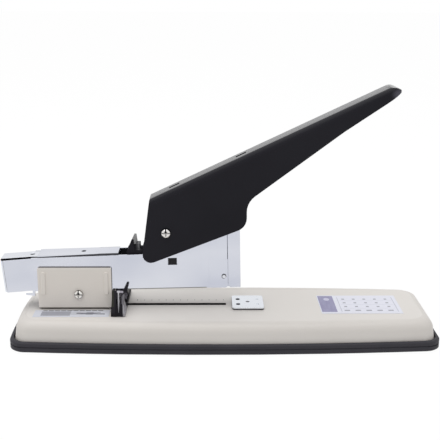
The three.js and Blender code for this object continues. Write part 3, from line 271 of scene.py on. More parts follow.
# Cream base: painted shade on the shoulder, painted light on the top, the printed scale behind the slot, and
# painted shade in the slot
SHOULDER_MIDDLE = BASE_TOP - 3.6
SHOULDER_FULL, SHOULDER_END = 1.0, 4.2
SHOULDER_PAINTED_SHADE, TOP_PAINTED_LIGHT = (0.64, 0.605, 0.57), (0.84, 0.81, 0.775)
TOP_FACE_LEVEL = BASE_TOP - 0.1
MARK_START, MARK_STEP, MARK_SHARE = -60.45, 5.0, 0.11
MARKS_ALONG, MARKS_ACROSS = (-61, 1.0), (6.8, 8.3)
LONG_MARK_ALONG, LONG_MARK_ACROSS = (-60.5, -59.8), (6.8, 8.4)
SHORT_MARK_ALONG, SHORT_MARK_ACROSS = (-58.1, -57.7), (7.0, 8.0)
SCALE_INK = (0.05, 0.05, 0.06)
SLOT_WALL_TOP = BASE_TOP - 0.15
SLOT_HALF, SLOT_ALONG = 2.4, (-74.5, 2.0)
SLOT_PAINTED_SHADE = (0.006, 0.006, 0.006)


def base_details(paint, colour):
    x, y, z = paint.axes()
    # Painted shade on the shoulder and painted light on the top face
    shoulder_shade = paint.ramp((z - SHOULDER_MIDDLE).size(), SHOULDER_FULL, SHOULDER_END, 1.0, 0.0)
    colour = paint.blend(shoulder_shade * 0.5, colour, SHOULDER_PAINTED_SHADE)
    colour = paint.blend(z.over(TOP_FACE_LEVEL) * 0.4, colour, TOP_PAINTED_LIGHT)
    step = ((x - MARK_START) / MARK_STEP).fraction()
    marks = step.under(MARK_SHARE) * x.between(*MARKS_ALONG) * y.between(*MARKS_ACROSS)
    long_mark = x.between(*LONG_MARK_ALONG) * y.between(*LONG_MARK_ACROSS)
    short_mark = x.between(*SHORT_MARK_ALONG) * y.between(*SHORT_MARK_ACROSS)
    ink = marks * 0.62 + (long_mark + short_mark * 0.4) * 0.8
    colour = paint.blend((ink * z.over(TOP_FACE_LEVEL)).capped(), colour, SCALE_INK)
    # Painted shade in the slot
    in_slot = z.under(SLOT_WALL_TOP) * y.size().under(SLOT_HALF) * x.between(*SLOT_ALONG)
    return paint.blend(in_slot, colour, SLOT_PAINTED_SHADE)


# Cream bracket, measured from its own edges: painted shade along the top and front edges and the foot, a painted
# highlight on the bevel beside them, and painted light and shade on the ribs
EDGE_SHADE_TOP, EDGE_SHADE_FRONT, FOOT_SHADE_HEIGHT = 0.22, 0.30, 0.7
HIGHLIGHT_TOP, HIGHLIGHT_FRONT = 1.0, 0.8
NEAR_FACE = BRACKET_NEAR + 0.1
RIB_HEIGHTS = (9.0, 27.0)
FRONT_RIB_LIT, FRONT_RIB_SHADED = (5.5, 5.9), (2.4, 2.75)
REAR_RIB_LIT, REAR_RIB_SHADED = (2.3, 2.8), (5.0, 5.4)
BEVEL_HIGHLIGHT, PAINTED_EDGE_SHADE = (0.95, 0.91, 0.86), (0.10, 0.09, 0.08)


def bracket_details(paint, colour):
    x, y, z = paint.axes()
    top, foot = BRACKET_TOP - z, z - BRACKET_FOOT
    front, rear = BRACKET_FRONT - x, x - BRACKET_REAR
    # Painted shade on the edges and the foot, painted highlight on the bevel, painted light and shade on the ribs
    edge_shade = (top.under(EDGE_SHADE_TOP) + front.under(EDGE_SHADE_FRONT)).capped()
    bevel = top.between(EDGE_SHADE_TOP, HIGHLIGHT_TOP) + front.between(EDGE_SHADE_FRONT, HIGHLIGHT_FRONT) * 0.6
    face = y.under(NEAR_FACE) * foot.between(*RIB_HEIGHTS)
    lit = (front.between(*FRONT_RIB_LIT) + rear.between(*REAR_RIB_LIT)) * face
    shaded = (front.between(*FRONT_RIB_SHADED) + rear.between(*REAR_RIB_SHADED)) * face
    colour = paint.blend((bevel.capped() * 0.5 + lit * 0.35).capped(), colour, BEVEL_HIGHLIGHT)
    dark = edge_shade * 0.8 + foot.under(FOOT_SHADE_HEIGHT) * 0.8 + shaded * 0.16
    return paint.blend(dark.capped(0.85), colour, PAINTED_EDGE_SHADE)


def cream_paint(name, dark, light, details):
    """Enamel with a fine orange peel and a slow drift between two creams."""
    paint = Paint(name, Specular_IOR_Level=0.4)
    colour = paint.blend(paint.spread(paint.noise(scale=14.0, detail=4.0)), dark, light)
    paint.send("Base Color", details(paint, colour))
    paint.send("Roughness", paint.spread(paint.noise(scale=60.0, detail=2.0), low=0.34, high=0.44))
    peel = paint.noise(scale=900.0, detail=2.0) * 0.7 + paint.noise(scale=2600.0, detail=1.0) * 0.3
    paint.bump(peel, strength=0.12, distance=0.00012)
    return paint.material


def rubber(name, dark, light):
    paint = Paint(name, Specular_IOR_Level=0.35)
    grain = paint.noise(scale=1500.0, detail=4.0)
    dust = paint.noise(scale=40.0, detail=5.0)
    paint.send("Base Color", paint.blend(paint.spread(dust), dark, light))
    paint.send("Roughness", paint.spread(grain, low=0.52, high=0.70))
    paint.bump(grain, strength=0.25, distance=0.00015)
    return paint.material


# Bright metal, and the places on it that lie in shadow
HAIRLINES_ALONG_ARM, HAIRLINES_ALL_WAYS = (3.0, 60.0, 60.0), (20.0, 20.0, 20.0)
FASTENER_GRAIN, ANVIL_GRAIN = (30.0, 30.0, 30.0), (40.0, 40.0, 40.0)
HAZE_STRETCH = (0.7, 1.0, 1.5)
DEEP_SHADOW = (0.012, 0.012, 0.015)


def bright_metal(name, dark, light, roughness, brush=HAIRLINES_ALONG_ARM, bump=0.05,
                 shade=None, shaded=DEEP_SHADOW):
    """Plated or bare metal with fine hairlines; shade gives the places that lie in shadow."""
    paint = Paint(name, Metallic=1.0)
    hairlines = paint.noise(scale=90.0, detail=5.0, roughness=0.6, stretch=brush)
    haze = paint.noise(scale=26.0, detail=2.0, roughness=0.4, stretch=HAZE_STRETCH)
    colour = paint.blend(paint.spread(haze), dark, light)
    rough = paint.spread(hairlines * 0.6 + haze * 0.4, *roughness)
    if shade:
        where = shade(paint)
        colour = paint.blend(where, colour, shaded)
        rough = rough + where * 0.4
    paint.send("Base Color", colour)
    paint.send("Roughness", rough)
    paint.bump(hairlines, strength=bump, distance=0.00008)
    return paint.material


STRIP_LIP, STRIP_SIDE, STRIP_END = 23.5, 5.95, (-10, 27.2)
SLEEVE_SIDE, SLEEVE_REAR, SLEEVE_LIP, SLEEVE_SLOPE = 6.9, -26.5, 26.0, 1.9 / 54.1
CHANNEL_SIDE, CHANNEL_FLOOR = 6.62, 2.6
ANVIL_TOP_EDGE = BASE_TOP + 0.9
FOOT_HEIGHT, FOOT_ALONG, FOOT_SIDE = 2.8, (33, 86.5), 8.2


def strip_sides(paint):
    """Painted shade on the folded sides of the magazine cover, and on what runs in under the arm."""
    along, across, above = paint.arm_axes()
    sides = across.size().over(STRIP_SIDE) * along.under(STRIP_END[0]) * above.over(STRIP_LIP)
    return (sides + along.over(STRIP_END[1]) * above.over(STRIP_LIP)).capped()


# Painted shade on the sleeve's flanks, below its lip
def sleeve_flanks(paint):
    along, across, above = paint.arm_axes()
    from_slope = above - (along - SLEEVE_REAR) * SLEEVE_SLOPE
    return across.size().over(SLEEVE_SIDE) * from_slope.under(SLEEVE_LIP)


# Painted shade inside the magazine channel
def channel_inside(paint):
    _, across, above = paint.arm_axes()
    return across.size().under(CHANNEL_SIDE) * above.over(CHANNEL_FLOOR)


# Painted shade on the anvil's flanks, below its top edge
def anvil_flanks(paint):
    return paint.axes()[2].under(ANVIL_TOP_EDGE)


def arm_foot(paint):
    """Painted shade along the lower edge of the arm's side plates."""
    along, across, above = paint.arm_axes()
    return above.under(FOOT_HEIGHT) * along.between(*FOOT_ALONG) * across.size().over(FOOT_SIDE)


# Shade in the cross recess of a bolt, round its head, and in the groove of a rivet
ARM_HALF, BAR_HALF, BAR_REACH = 0.42, 0.36, 2.75
RECESS_MIDDLE, RECESS_FOOT, RECESS_SLOPE = 0.3, -2.0, 2.0
HEAD_RADIUS, HEAD_SHADE_RADIUS = 2.95, 4
RIVET_RADIUS, RIVET_LIT_SIDE = 1.15, 1.6


def cross_recess(centre):
    """Painted shade in the cross recess of a bolt's head, deepest in its upper part, and round the head's foot."""
    def places(paint):
        x, y, z = paint.axes()
        right, up = (x - centre.x).size(), z - centre.z
        reach = (right * right + up * up).root()
        stem = right.under(ARM_HALF) * up.over(RECESS_MIDDLE)
        foot = right.under(ARM_HALF) * up.between(RECESS_FOOT, RECESS_MIDDLE) * 0.5
        bar = (up - RECESS_MIDDLE).size().under(BAR_HALF) * right.under(BAR_REACH) * 0.8
        slope = (right + up * 0.9).under(RECESS_SLOPE) * up.over(RECESS_MIDDLE) * 0.75
        cross = (stem + foot + bar + slope).capped() * reach.under(HEAD_RADIUS) * y.under(0)
        return cross + reach.over(HEAD_RADIUS) * reach.under(HEAD_SHADE_RADIUS)
    return places


def rivet_ring(centre):
    """Painted shade of a groove round a peened rivet, left off its lit side."""
    def places(paint):
        x, _, z = paint.axes()
        right, up = x - centre.x, z - centre.z
        reach = (right * right + up * up).root()
        return reach.over(RIVET_RADIUS) * (right - up).under(RIVET_LIT_SIDE) * 0.9
    return places


# Handle paint, with a painted highlight at the tip
TIP_HIGHLIGHT_START, TIP_HIGHLIGHT_END, TIP_HIGHLIGHT_FLATTEN = 0.8, 6.0, 1.6
HANDLE_BLACK, HANDLE_BLACK_LIGHT = (0.0100, 0.0096, 0.0135), (0.0140, 0.0134, 0.0185)
TIP_HIGHLIGHT_GREY = (0.085, 0.083, 0.105)
SHEEN_START, SHEEN_END, SHEEN_LEAST, SHEEN_MOST = 0.46, 0.72, 0.05, 0.74


def black_paint(name):
    """Satin paint: dark face on, and a bright sheen at a low angle."""
    paint = Paint(name, Specular_IOR_Level=0.10, Coat_Roughness=0.10, Coat_IOR=1.5)
    colour = paint.blend(paint.spread(paint.noise(scale=18.0, detail=3.0)), HANDLE_BLACK, HANDLE_BLACK_LIGHT)
    x, _, z = paint.axes()
    behind, below = x - TIP.x, z - TIP.z
    from_tip = (behind * behind + below * below * TIP_HIGHLIGHT_FLATTEN).root()
    # Painted highlight where the rounded tip catches the light
    tip_highlight = paint.ramp(from_tip, TIP_HIGHLIGHT_START, TIP_HIGHLIGHT_END, 1.0, 0.0, "SMOOTHSTEP")
    paint.send("Base Color", paint.blend(tip_highlight, colour, TIP_HIGHLIGHT_GREY))
    paint.send("Roughness", paint.spread(paint.noise(scale=45.0, detail=3.0), low=0.34, high=0.44))
    facing = paint.node("ShaderNodeLayerWeight", inputs={"Blend": 0.5}, out=1)
    paint.send("Coat Weight", paint.ramp(facing, SHEEN_START, SHEEN_END, SHEEN_LEAST, SHEEN_MOST))
    paint.bump(paint.noise(scale=1300.0, detail=2.0), strength=0.05, distance=0.0001)
    return paint.material


# Black plastic of the stop, the latch and the window plugs
PLASTIC_BLACK, PLASTIC_BLACK_LIGHT = (0.007, 0.0065, 0.008), (0.011, 0.0105, 0.0125)


def black_plastic(name, details=None, gloss=0.22, painted_lightening=1.0):
    """Moulded plastic; details add painted highlights and reflections, and the last argument, above 1, lightens
    the whole colour as painted light in place of reflection.
    """
    paint = Paint(name, Specular_IOR_Level=gloss)
    dark = [tone * painted_lightening for tone in PLASTIC_BLACK]
    light = [tone * painted_lightening for tone in PLASTIC_BLACK_LIGHT]
    colour = paint.blend(paint.spread(paint.noise(scale=120.0)), dark, light)
    if details:
        colour = details(paint, colour)
    paint.send("Base Color", colour)
    paint.send("Roughness", paint.spread(paint.noise(scale=150.0, detail=3.0), low=0.20, high=0.32))
    paint.bump(paint.noise(scale=2200.0, detail=3.0), strength=0.12, distance=0.00008)
    return paint.material


# Paper stop, measured from its rear edge, which leans, and from its floor
STOP_LEAN = 1.2 / 13.4
STOP_NEAR, STOP_HEAD_ACROSS, STOP_FAR = -10.5, (-14, -10.75), 2
RIB_MIDDLE, RIB_WIDENING, RIB_START, RIB_FOOT = 5.4, 0.085, 0.12, 2.6
STOP_HEAD_HEIGHT, STOP_HEAD_ALONG = 12.0, (4.3, 8.6)
WINDOW_HEIGHT, WINDOW_ALONG = 4.7, (2.9, 8.4)
SIDE_ALONG, SIDE_HEIGHT = (8.1, 12.0), 6.5
FRONT_ALONG, FRONT_HEIGHT = (7.2, 12.0), (6.5, 11.9)
BACK_DEPTH, BACK_HEIGHT = 2.4, 5.5
SHINE_HEIGHT = 13.0
PAINTED_BACK_LIGHT, PAINTED_FRONT_LIGHT, PAINTED_SIDE_LIGHT = (0.034, 0.035, 0.029), (0.28, 0.27, 0.30), (0.40, 0.39, 0.42)
PAINTED_WINDOW_LIGHT, SHINE_LOW, SHINE_HIGH = (0.50, 0.48, 0.54), (0.12, 0.12, 0.13), (0.62, 0.61, 0.64)


def stop_details(paint, colour):
    """Painted light: a highlight on the rib that widens upwards, a pale window and head, a lighter foot side and
    front edge, and a grey rear wall.
    """
    x, y, z = paint.axes()
    height = z - STOP_FLOOR
    place = x - STOP_REAR + height * STOP_LEAN
    near = y.under(STOP_NEAR)
    rib = (place - RIB_MIDDLE).size().under(height * RIB_WIDENING - RIB_START) * near * height.over(RIB_FOOT)
    head = height.over(STOP_HEAD_HEIGHT) * place.between(*STOP_HEAD_ALONG) * y.between(*STOP_HEAD_ACROSS)
    window = y.over(STOP_FAR) * height.under(WINDOW_HEIGHT) * place.between(*WINDOW_ALONG)
    side = place.between(*SIDE_ALONG) * near * height.under(SIDE_HEIGHT)
    front = place.between(*FRONT_ALONG) * near * height.between(*FRONT_HEIGHT)
    back = place.under(BACK_DEPTH) * near * height.over(BACK_HEIGHT)
    colour = paint.blend(back, colour, PAINTED_BACK_LIGHT)
    colour = paint.blend(front * 0.6, colour, PAINTED_FRONT_LIGHT)
    colour = paint.blend(side * 0.85, colour, PAINTED_SIDE_LIGHT)
    colour = paint.blend((head + window).capped() * 0.8, colour, PAINTED_WINDOW_LIGHT)
    shine = paint.blend((height / SHINE_HEIGHT).capped(), SHINE_LOW, SHINE_HIGH)
    return paint.blend(rib * 0.9, colour, shine)


# Magazine latch, measured on the arm
FIN_ACROSS, FIN_FOOT, FIN_FRONT = 4.4, 30.2, 40.8
POST_HALF, POST_REAR, POST_FOOT, POST_LIT_ALONG = 4.2, 39.4, 28.6, (40.6, 41.8)
BLOCK_FRONT, BLOCK_TOP = 33.1, 28.2
BLOCK_BLACK, POST_PAINTED_LIGHT, FIN_PAINTED_REFLECTION = (0.006, 0.006, 0.007), (0.28, 0.28, 0.29), (0.52, 0.52, 0.52)


def latch_details(paint, colour):
    """Painted reflection on the far fin and painted light on the post, with a dark block at the rear."""
    along, across, above = paint.arm_axes()
    fin = across.over(FIN_ACROSS) * above.over(FIN_FOOT) * along.under(FIN_FRONT)
    post = across.size().under(POST_HALF) * along.over(POST_REAR) * above.over(POST_FOOT)
    block = along.under(BLOCK_FRONT) * above.under(BLOCK_TOP)
    colour = paint.blend(block, colour, BLOCK_BLACK)
    colour = paint.blend(post * (0.25 + along.between(*POST_LIT_ALONG) * 0.5), colour, POST_PAINTED_LIGHT)
    return paint.blend(fin, colour, FIN_PAINTED_REFLECTION)


# Labels, each measured from its own rear near corner
def label_stock(paint, tint):
    fibre = paint.noise(scale=500.0, detail=4.0)
    paint.send("Roughness", paint.spread(fibre, low=0.42, high=0.55))
    paint.bump(fibre, strength=0.08, distance=0.00005)
    return paint.blend(paint.spread(fibre), tint, [tone * 1.03 for tone in tint])


def label_axes(paint, node):
    x, y, _ = paint.axes()
    corner = corners(node)[0]
    return x - tenth(corner.x), y - tenth(corner.y)


TABLE_PALE, TABLE_INK, TABLE_RULE = (0.81, 0.82, 0.91), (0.22, 0.22, 0.27), (0.40, 0.41, 0.50)
LILAC, LILAC_LIGHT, SPOT_LILAC = (0.285, 0.272, 0.44), (0.35, 0.34, 0.51), (0.66, 0.65, 0.80)
LILAC_ALONG, LILAC_ACROSS = (0.6, 11.0), (2.5, 32.4)
SPOT_PLACE, SPOT_SHAPE, SPOT_AREA = (6.3, 26.0), (1.3, 0.75), 5.2
COLUMN_START, COLUMN_STEP = 14.25, 7.42
ROW_START, ROW_STEP, LAST_ROW = 2.0, 6.95, 8.9
TABLE_ALONG, TABLE_ACROSS = (15.0, 51.3), (2.2, 29.6)
DASH_ALONG, DASH_ACROSS = (0.36, 0.62), (0.36, 0.62)
WIDE_DASH_ALONG, WIDE_DASH_ACROSS = (0.24, 0.74), (0.34, 0.62)
RULE_SHARE, REAR_RULE, FRONT_RULE, RULES_ACROSS = 0.07, (13.8, 14.3), (52.0, 52.6), (2.9, 29.9)


def table_print(name):
    """A pale table with a lilac block at its rear end, five columns of plain dashes and thin rules."""
    paint = Paint(name, Specular_IOR_Level=0.4)
    along, across = label_axes(paint, "spec_label")
    colour = label_stock(paint, TABLE_PALE)
    streaks = paint.noise(scale=90.0, detail=3.0, roughness=0.6, stretch=(6.0, 1.0, 1.0))
    lilac = paint.blend(paint.spread(streaks), LILAC, LILAC_LIGHT)
    colour = paint.blend(along.between(*LILAC_ALONG) * across.between(*LILAC_ACROSS), colour, lilac)
    right, up = along - SPOT_PLACE[0], across - SPOT_PLACE[1]
    spot = (right * right * SPOT_SHAPE[0] + up * up * SPOT_SHAPE[1]).under(SPOT_AREA)
    colour = paint.blend(spot * 0.85, colour, SPOT_LILAC)
    column = ((along - COLUMN_START) / COLUMN_STEP).fraction()
    row = ((across - ROW_START) / ROW_STEP).fraction()
    inside = along.between(*TABLE_ALONG) * across.between(*TABLE_ACROSS)
    dashes = column.between(*DASH_ALONG) * row.between(*DASH_ACROSS)
    wide = column.between(*WIDE_DASH_ALONG) * row.between(*WIDE_DASH_ACROSS) * across.under(LAST_ROW)
    rules = row.under(RULE_SHARE) * inside * 0.35
    edges = (along.between(*REAR_RULE) + along.between(*FRONT_RULE)) * across.between(*RULES_ACROSS) * 0.6
    colour = paint.blend((dashes + wide).capped() * inside * 0.75, colour, TABLE_INK)
    colour = paint.blend(rules + edges, colour, TABLE_RULE)
    paint.send("Base Color", colour)
    return paint.material


STRIP_PALE = (0.67, 0.69, 0.76)
HATCH_INK, DASH_INK, STROKE_INK = (0.12, 0.12, 0.16), (0.08, 0.08, 0.09), (0.10, 0.10, 0.13)
HATCH_LEAN, HATCH_STEP, LINE_STEP = 0.6, 1.15, 1.8
HATCH_ALONG, HATCH_ACROSS = (4.9, 24.4), (1.8, 9.2)
TAIL_ALONG, TAIL_ACROSS = (24.4, 34.9), (2.9, 8.4)
PIECE_START, PIECE_STEP, PIECE_SHARE = 4.9, 4.15, 0.84
PIECES_ALONG, PIECES_ACROSS = (5.4, 46.0), (10.0, 11.3)
STROKES_MIDDLE = 37.4
BROAD_STROKE_ACROSS, BROAD_STROKE_SLOPE, BROAD_STROKE_HALF = 5.4, 0.07, 0.9
FINE_STROKE_ACROSS, FINE_STROKE_SLOPE, FINE_STROKE_HALF = 6.2, 0.22, 0.6
BROAD_STROKE_ALONG, FINE_STROKE_ALONG = (28.4, 47.4), (31.4, 44.4)
KNOT_ALONG, KNOT_ACROSS = (34.9, 39.6), (3.4, 8.0)


def strip_print(name):
    """A pale strip with a row of plain dashes, a hatched block and two soft strokes."""
    paint = Paint(name, Specular_IOR_Level=0.4)
    along, across = label_axes(paint, "side_label")
    colour = label_stock(paint, STRIP_PALE)
    hatch = ((along + across * HATCH_LEAN) / HATCH_STEP).fraction().under(0.5)
    lines = (across / LINE_STEP).fraction().under(0.55)
    block = along.between(*HATCH_ALONG) * across.between(*HATCH_ACROSS)
    colour = paint.blend(block * (0.34 + lines * 0.22 + hatch * 0.22), colour, HATCH_INK)
    tail = along.between(*TAIL_ALONG) * across.between(*TAIL_ACROSS) * lines * 0.3
    piece = ((along - PIECE_START) / PIECE_STEP).fraction().under(PIECE_SHARE)
    dashes = along.between(*PIECES_ALONG) * across.between(*PIECES_ACROSS) * piece
    colour = paint.blend(tail + dashes * 0.9, colour, DASH_INK)
    beyond = along - STROKES_MIDDLE
    broad = (across - BROAD_STROKE_ACROSS + beyond * BROAD_STROKE_SLOPE).size().under(BROAD_STROKE_HALF)
    fine = (across - FINE_STROKE_ACROSS - beyond * FINE_STROKE_SLOPE).size().under(FINE_STROKE_HALF)
    knot = along.between(*KNOT_ALONG) * across.between(*KNOT_ACROSS)
    ink = broad * along.between(*BROAD_STROKE_ALONG) + fine * along.between(*FINE_STROKE_ALONG) * 0.7
    colour = paint.blend((ink + knot * 0.7).capped() * 0.85, colour, STROKE_INK)
    paint.send("Base Color", colour)
    return paint.material


CREAM = cream_paint("cream_base_paint", (0.725, 0.688, 0.650), (0.765, 0.730, 0.692), base_details)
CREAM_BRACKET = cream_paint("cream_bracket_paint", (0.770, 0.722, 0.670), (0.810, 0.765, 0.712),
                            bracket_details)
RUBBER = rubber("rim_rubber", (0.025, 0.024, 0.031), (0.034, 0.032, 0.041))
BLUISH = ((0.560, 0.580, 0.660), (0.685, 0.700, 0.760))
POLISHED = (0.10, 0.17)
CHROME = bright_metal("chrome_sheet", *BLUISH, POLISHED)
CHROME_ARM = bright_metal("chrome_arm", *BLUISH, POLISHED, shade=arm_foot, shaded=(0.26, 0.26, 0.25))
CHROME_STRIP = bright_metal("chrome_strip", (0.66, 0.68, 0.74), (0.76, 0.78, 0.83), POLISHED,
                            shade=strip_sides)
CHROME_SLEEVE = bright_metal("chrome_sleeve", *BLUISH, POLISHED,
                             shade=sleeve_flanks, shaded=(0.10, 0.10, 0.11))
CHROME_CHANNEL = bright_metal("chrome_channel", *BLUISH, POLISHED, shade=channel_inside)
NICKEL = bright_metal("anvil_nickel", (0.68, 0.71, 0.76), (0.74, 0.77, 0.82), (0.14, 0.22), ANVIL_GRAIN,
                      shade=anvil_flanks, shaded=(0.05, 0.05, 0.06))
PIVOT_BOLT = bright_metal("pivot_bolt_plating", (0.70, 0.68, 0.65), (0.80, 0.78, 0.75), (0.12, 0.22),
                          FASTENER_GRAIN, shade=cross_recess(ARM_PIVOT))
HANDLE_BOLT = bright_metal("handle_bolt_plating", (0.70, 0.68, 0.66), (0.80, 0.78, 0.76), (0.12, 0.22),
                           FASTENER_GRAIN, shade=cross_recess(HANDLE_PIVOT))
RIVET_MIDDLE = sum(corners("head_rivet_near"), Vector()) / 2
RIVET = bright_metal("rivet_plating", (0.66, 0.67, 0.72), (0.74, 0.75, 0.80), (0.14, 0.24), FASTENER_GRAIN,
                     shade=rivet_ring(RIVET_MIDDLE), shaded=(0.05, 0.05, 0.055))
STEEL = bright_metal("zinc_steel", (0.40, 0.41, 0.44), (0.50, 0.51, 0.54), (0.26, 0.38),
                     HAIRLINES_ALL_WAYS, 0.12)
DARK_STEEL = bright_metal("oxide_steel", (0.12, 0.12, 0.14), (0.19, 0.19, 0.21), (0.34, 0.48),
                          HAIRLINES_ALL_WAYS, 0.15)
BLACK_PAINT = black_paint("satin_black_paint")
BLACK_PLASTIC = black_plastic("moulded_black_plastic")
# The stop and the latch are lighter copies with their gloss turned down: painted light in place of their
# reflection
STOP_PLASTIC = black_plastic("stop_plastic", stop_details, 0.02, 2.6)
LATCH_PLASTIC = black_plastic("latch_plastic", latch_details, 0.0, 2.8)
TABLE_PRINT = table_print("table_label_print")
STRIP_PRINT = strip_print("side_label_print")

# Mesh work, in millimetres until a piece is finished
MERGE, FLAT_ANGLE = 0.000002, math.radians(0.6)
CREASE_ANGLE, WIRE_CREASE_ANGLE = math.radians(30), math.radians(50)
WIRE_SIDES, STEPS_A_TURN, WIRE_MERGE = 8, 20, 0.0001


def settle(node, bm, material, crease, held=True):
    """Turns a mesh in millimetres into the piece that stands for a node; when held, it rides on its body."""
    bmesh.ops.recalc_face_normals(bm, faces=bm.faces)
    bmesh.ops.scale(bm, vec=(MM, MM, MM), verts=bm.verts)
    for face in bm.faces:
        face.smooth = True
    mesh = bpy.data.meshes.new(node + "_piece")
    bm.to_mesh(mesh)
    bm.free()
    mesh.materials.append(material)
    piece = bpy.data.objects.new(node + "_piece", mesh)
    bpy.context.collection.objects.link(piece)
    mesh.set_sharp_from_angle(angle=crease)
    if held:
        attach(piece, body_of_node(node))
    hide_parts(node)
    return piece


def softened(node, material, bevel, segments=2):
    """A merged copy of a sheet or moulded piece with its edges broken."""
    bm = bmesh.new()
    bm.from_mesh(frame["nodes"][node].data)
    bmesh.ops.remove_doubles(bm, verts=bm.verts, dist=MERGE)
    bmesh.ops.dissolve_limit(bm, angle_limit=FLAT_ANGLE, verts=bm.verts, edges=bm.edges)
    bmesh.ops.scale(bm, vec=(1 / MM, 1 / MM, 1 / MM), verts=bm.verts)
    piece = settle(node, bm, material, CREASE_ANGLE)
    edge = piece.modifiers.new("edges", "BEVEL")
    edge.width = bevel * MM
    edge.segments = segments
    edge.limit_method = "ANGLE"
    edge.angle_limit = CREASE_ANGLE
    edge.harden_normals = False
    weigh = piece.modifiers.new("normals", "WEIGHTED_NORMAL")
    weigh.keep_sharp = True


def keep(node, material):
    """A plain inner piece keeps its solid and gets its finish."""
    held = frame["nodes"][node]
    held.data.materials.clear()
    held.data.materials.append(material)


def coil(node, radius, wire, turns, length, place, held=True):
    """A round wire wound along Z, then put in place. Unless it is held, it rides on no body."""
    bm = bmesh.new()
    ring = bmesh.ops.create_circle(bm, segments=WIRE_SIDES, radius=wire / 2)["verts"]
    upright = Matrix.Translation((radius, 0, wire / 2)) @ Matrix.Rotation(math.radians(90), 4, "X")
    bmesh.ops.transform(bm, matrix=upright, verts=ring)
    edges = bm.edges[:]
    bmesh.ops.contextual_create(bm, geom=edges)
    steps = turns * STEPS_A_TURN
    bmesh.ops.spin(bm, geom=edges, cent=(0, 0, 0), axis=(0, 0, 1), dvec=(0, 0, (length - wire) / steps),
                   angle=2 * math.pi * turns, steps=steps)
    ends = [edge for edge in bm.edges if edge.is_boundary]
    bmesh.ops.holes_fill(bm, edges=ends, sides=0)
    bmesh.ops.remove_doubles(bm, verts=bm.verts, dist=WIRE_MERGE)
    bmesh.ops.transform(bm, matrix=place, verts=bm.verts)
    return settle(node, bm, STEEL, WIRE_CREASE_ANGLE, held)


# Pieces: each node with its finish and the width of its broken edges
SHEET_BREAK, FINE_BREAK, PLASTIC_BREAK = 0.22, 0.12, 0.25
BRACKET_BREAK, PRESSED_BREAK = 0.28, 0.3
LABEL_BREAK, BOLT_BREAK, NUT_BREAK = 0.05, 0.15, 0.35

make_camera()
softened("base_shell", CREAM, PRESSED_BREAK)
softened("base_rim", RUBBER, PLASTIC_BREAK)
softened("pivot_bracket", CREAM_BRACKET, BRACKET_BREAK)
softened("nose_guide", CHROME, SHEET_BREAK)
for plate in ("arm_plate_near", "arm_plate_far"):
    softened(plate, CHROME_ARM, SHEET_BREAK)
softened("magazine_channel", CHROME_CHANNEL, SHEET_BREAK)
softened("magazine_cover", CHROME_STRIP, SHEET_BREAK)
softened("cover_sleeve", CHROME_SLEEVE, SHEET_BREAK)
softened("handle_shell", BLACK_PAINT, PRESSED_BREAK)
softened("paper_stop", STOP_PLASTIC, PLASTIC_BREAK, 3)
softened("magazine_latch", LATCH_PLASTIC, PLASTIC_BREAK, 3)
softened("anvil_plate", NICKEL, PLASTIC_BREAK, 3)
softened("spec_label", TABLE_PRINT, LABEL_BREAK, 1)
softened("side_label", STRIP_PRINT, LABEL_BREAK, 1)
for plug in ("window_plug_near", "window_plug_far"):
    softened(plug, BLACK_PLASTIC, BOLT_BREAK)
softened("pivot_bolt", PIVOT_BOLT, BOLT_BREAK)
softened("handle_bolt", HANDLE_BOLT, BOLT_BREAK)
for nut in ("pivot_nut", "handle_nut"):
    softened(nut, STEEL, NUT_BREAK)
for rivet in ("head_rivet_near", "head_rivet_far"):
    softened(rivet, RIVET, FINE_BREAK)
for zinc_plated in ("bracket_screw_1", "bracket_screw_2",
                    "staple_rail", "pusher", "drive_lever", "driver_ram", "driver_blade"):
    softened(zinc_plated, STEEL, FINE_BREAK)
for inner in ("base_beam", "bottom_plate", "anvil_pin", "anvil_clip", "stop_clamp"):
    keep(inner, DARK_STEEL)
for inner in ("pusher_rod", "latch_pin", "frame_spacer", "handle_bush", "ram_spring_stud",
              *[f"base_post_{i}" for i in range(1, 5)], *[f"base_screw_{i}" for i in range(1, 5)]):
    keep(inner, STEEL)

# Springs, wound in place
ON_ARM = Matrix.Translation(ARM_PIVOT) @ Matrix.Rotation(-TILT, 4, "Y")
ALONG_Y, ALONG_X = Matrix.Rotation(math.radians(90), 4, "X"), Matrix.Rotation(math.radians(90), 4, "Y")

ARM_SPRING_FROM_PIVOT, ARM_SPRING_RADIUS, ARM_SPRING_WIRE = 17.0, 4.0, 1.0
low, high = (corner.z for corner in corners("arm_spring"))
arm_spring = coil("arm_spring", ARM_SPRING_RADIUS, ARM_SPRING_WIRE, turns=5, length=high - low,
                  place=Matrix.Translation((ARM_PIVOT.x + ARM_SPRING_FROM_PIVOT, 0, low)))
drop = (ARM_SPRING_FROM_PIVOT + ARM_SPRING_RADIUS + ARM_SPRING_WIRE) * math.sin(travel_of("arm_pivot"))
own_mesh(arm_spring)

low, high = (corner.y for corner in corners("handle_spring"))
coil("handle_spring", radius=5.0, wire=0.9, turns=2, length=high - low,
     place=Matrix.Translation((HANDLE_PIVOT.x, high, HANDLE_PIVOT.z)) @ ALONG_Y)

RAM_SPRING_LUG, RAM_SPRING_LENGTH = Vector((93.2, 5.1, 48.6)), 9.9
ram_spring = coil("ram_spring", radius=1.8, wire=0.5, turns=6, length=RAM_SPRING_LENGTH,
                  place=ON_ARM @ Matrix.Translation(RAM_SPRING_LUG), held=False)
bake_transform(ram_spring)

PUSHER_SPRING_REAR, PUSHER_SPRING_LENGTH = Vector((-47.4, 0, 11.2)), 122.7
pusher_spring = coil("pusher_spring", radius=2.7, wire=0.6, turns=40, length=PUSHER_SPRING_LENGTH,
                     place=ON_ARM @ Matrix.Translation(PUSHER_SPRING_REAR) @ ALONG_X)
pressed = 1 - travel_of("pusher_slide") / PUSHER_SPRING_LENGTH
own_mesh(pusher_spring)

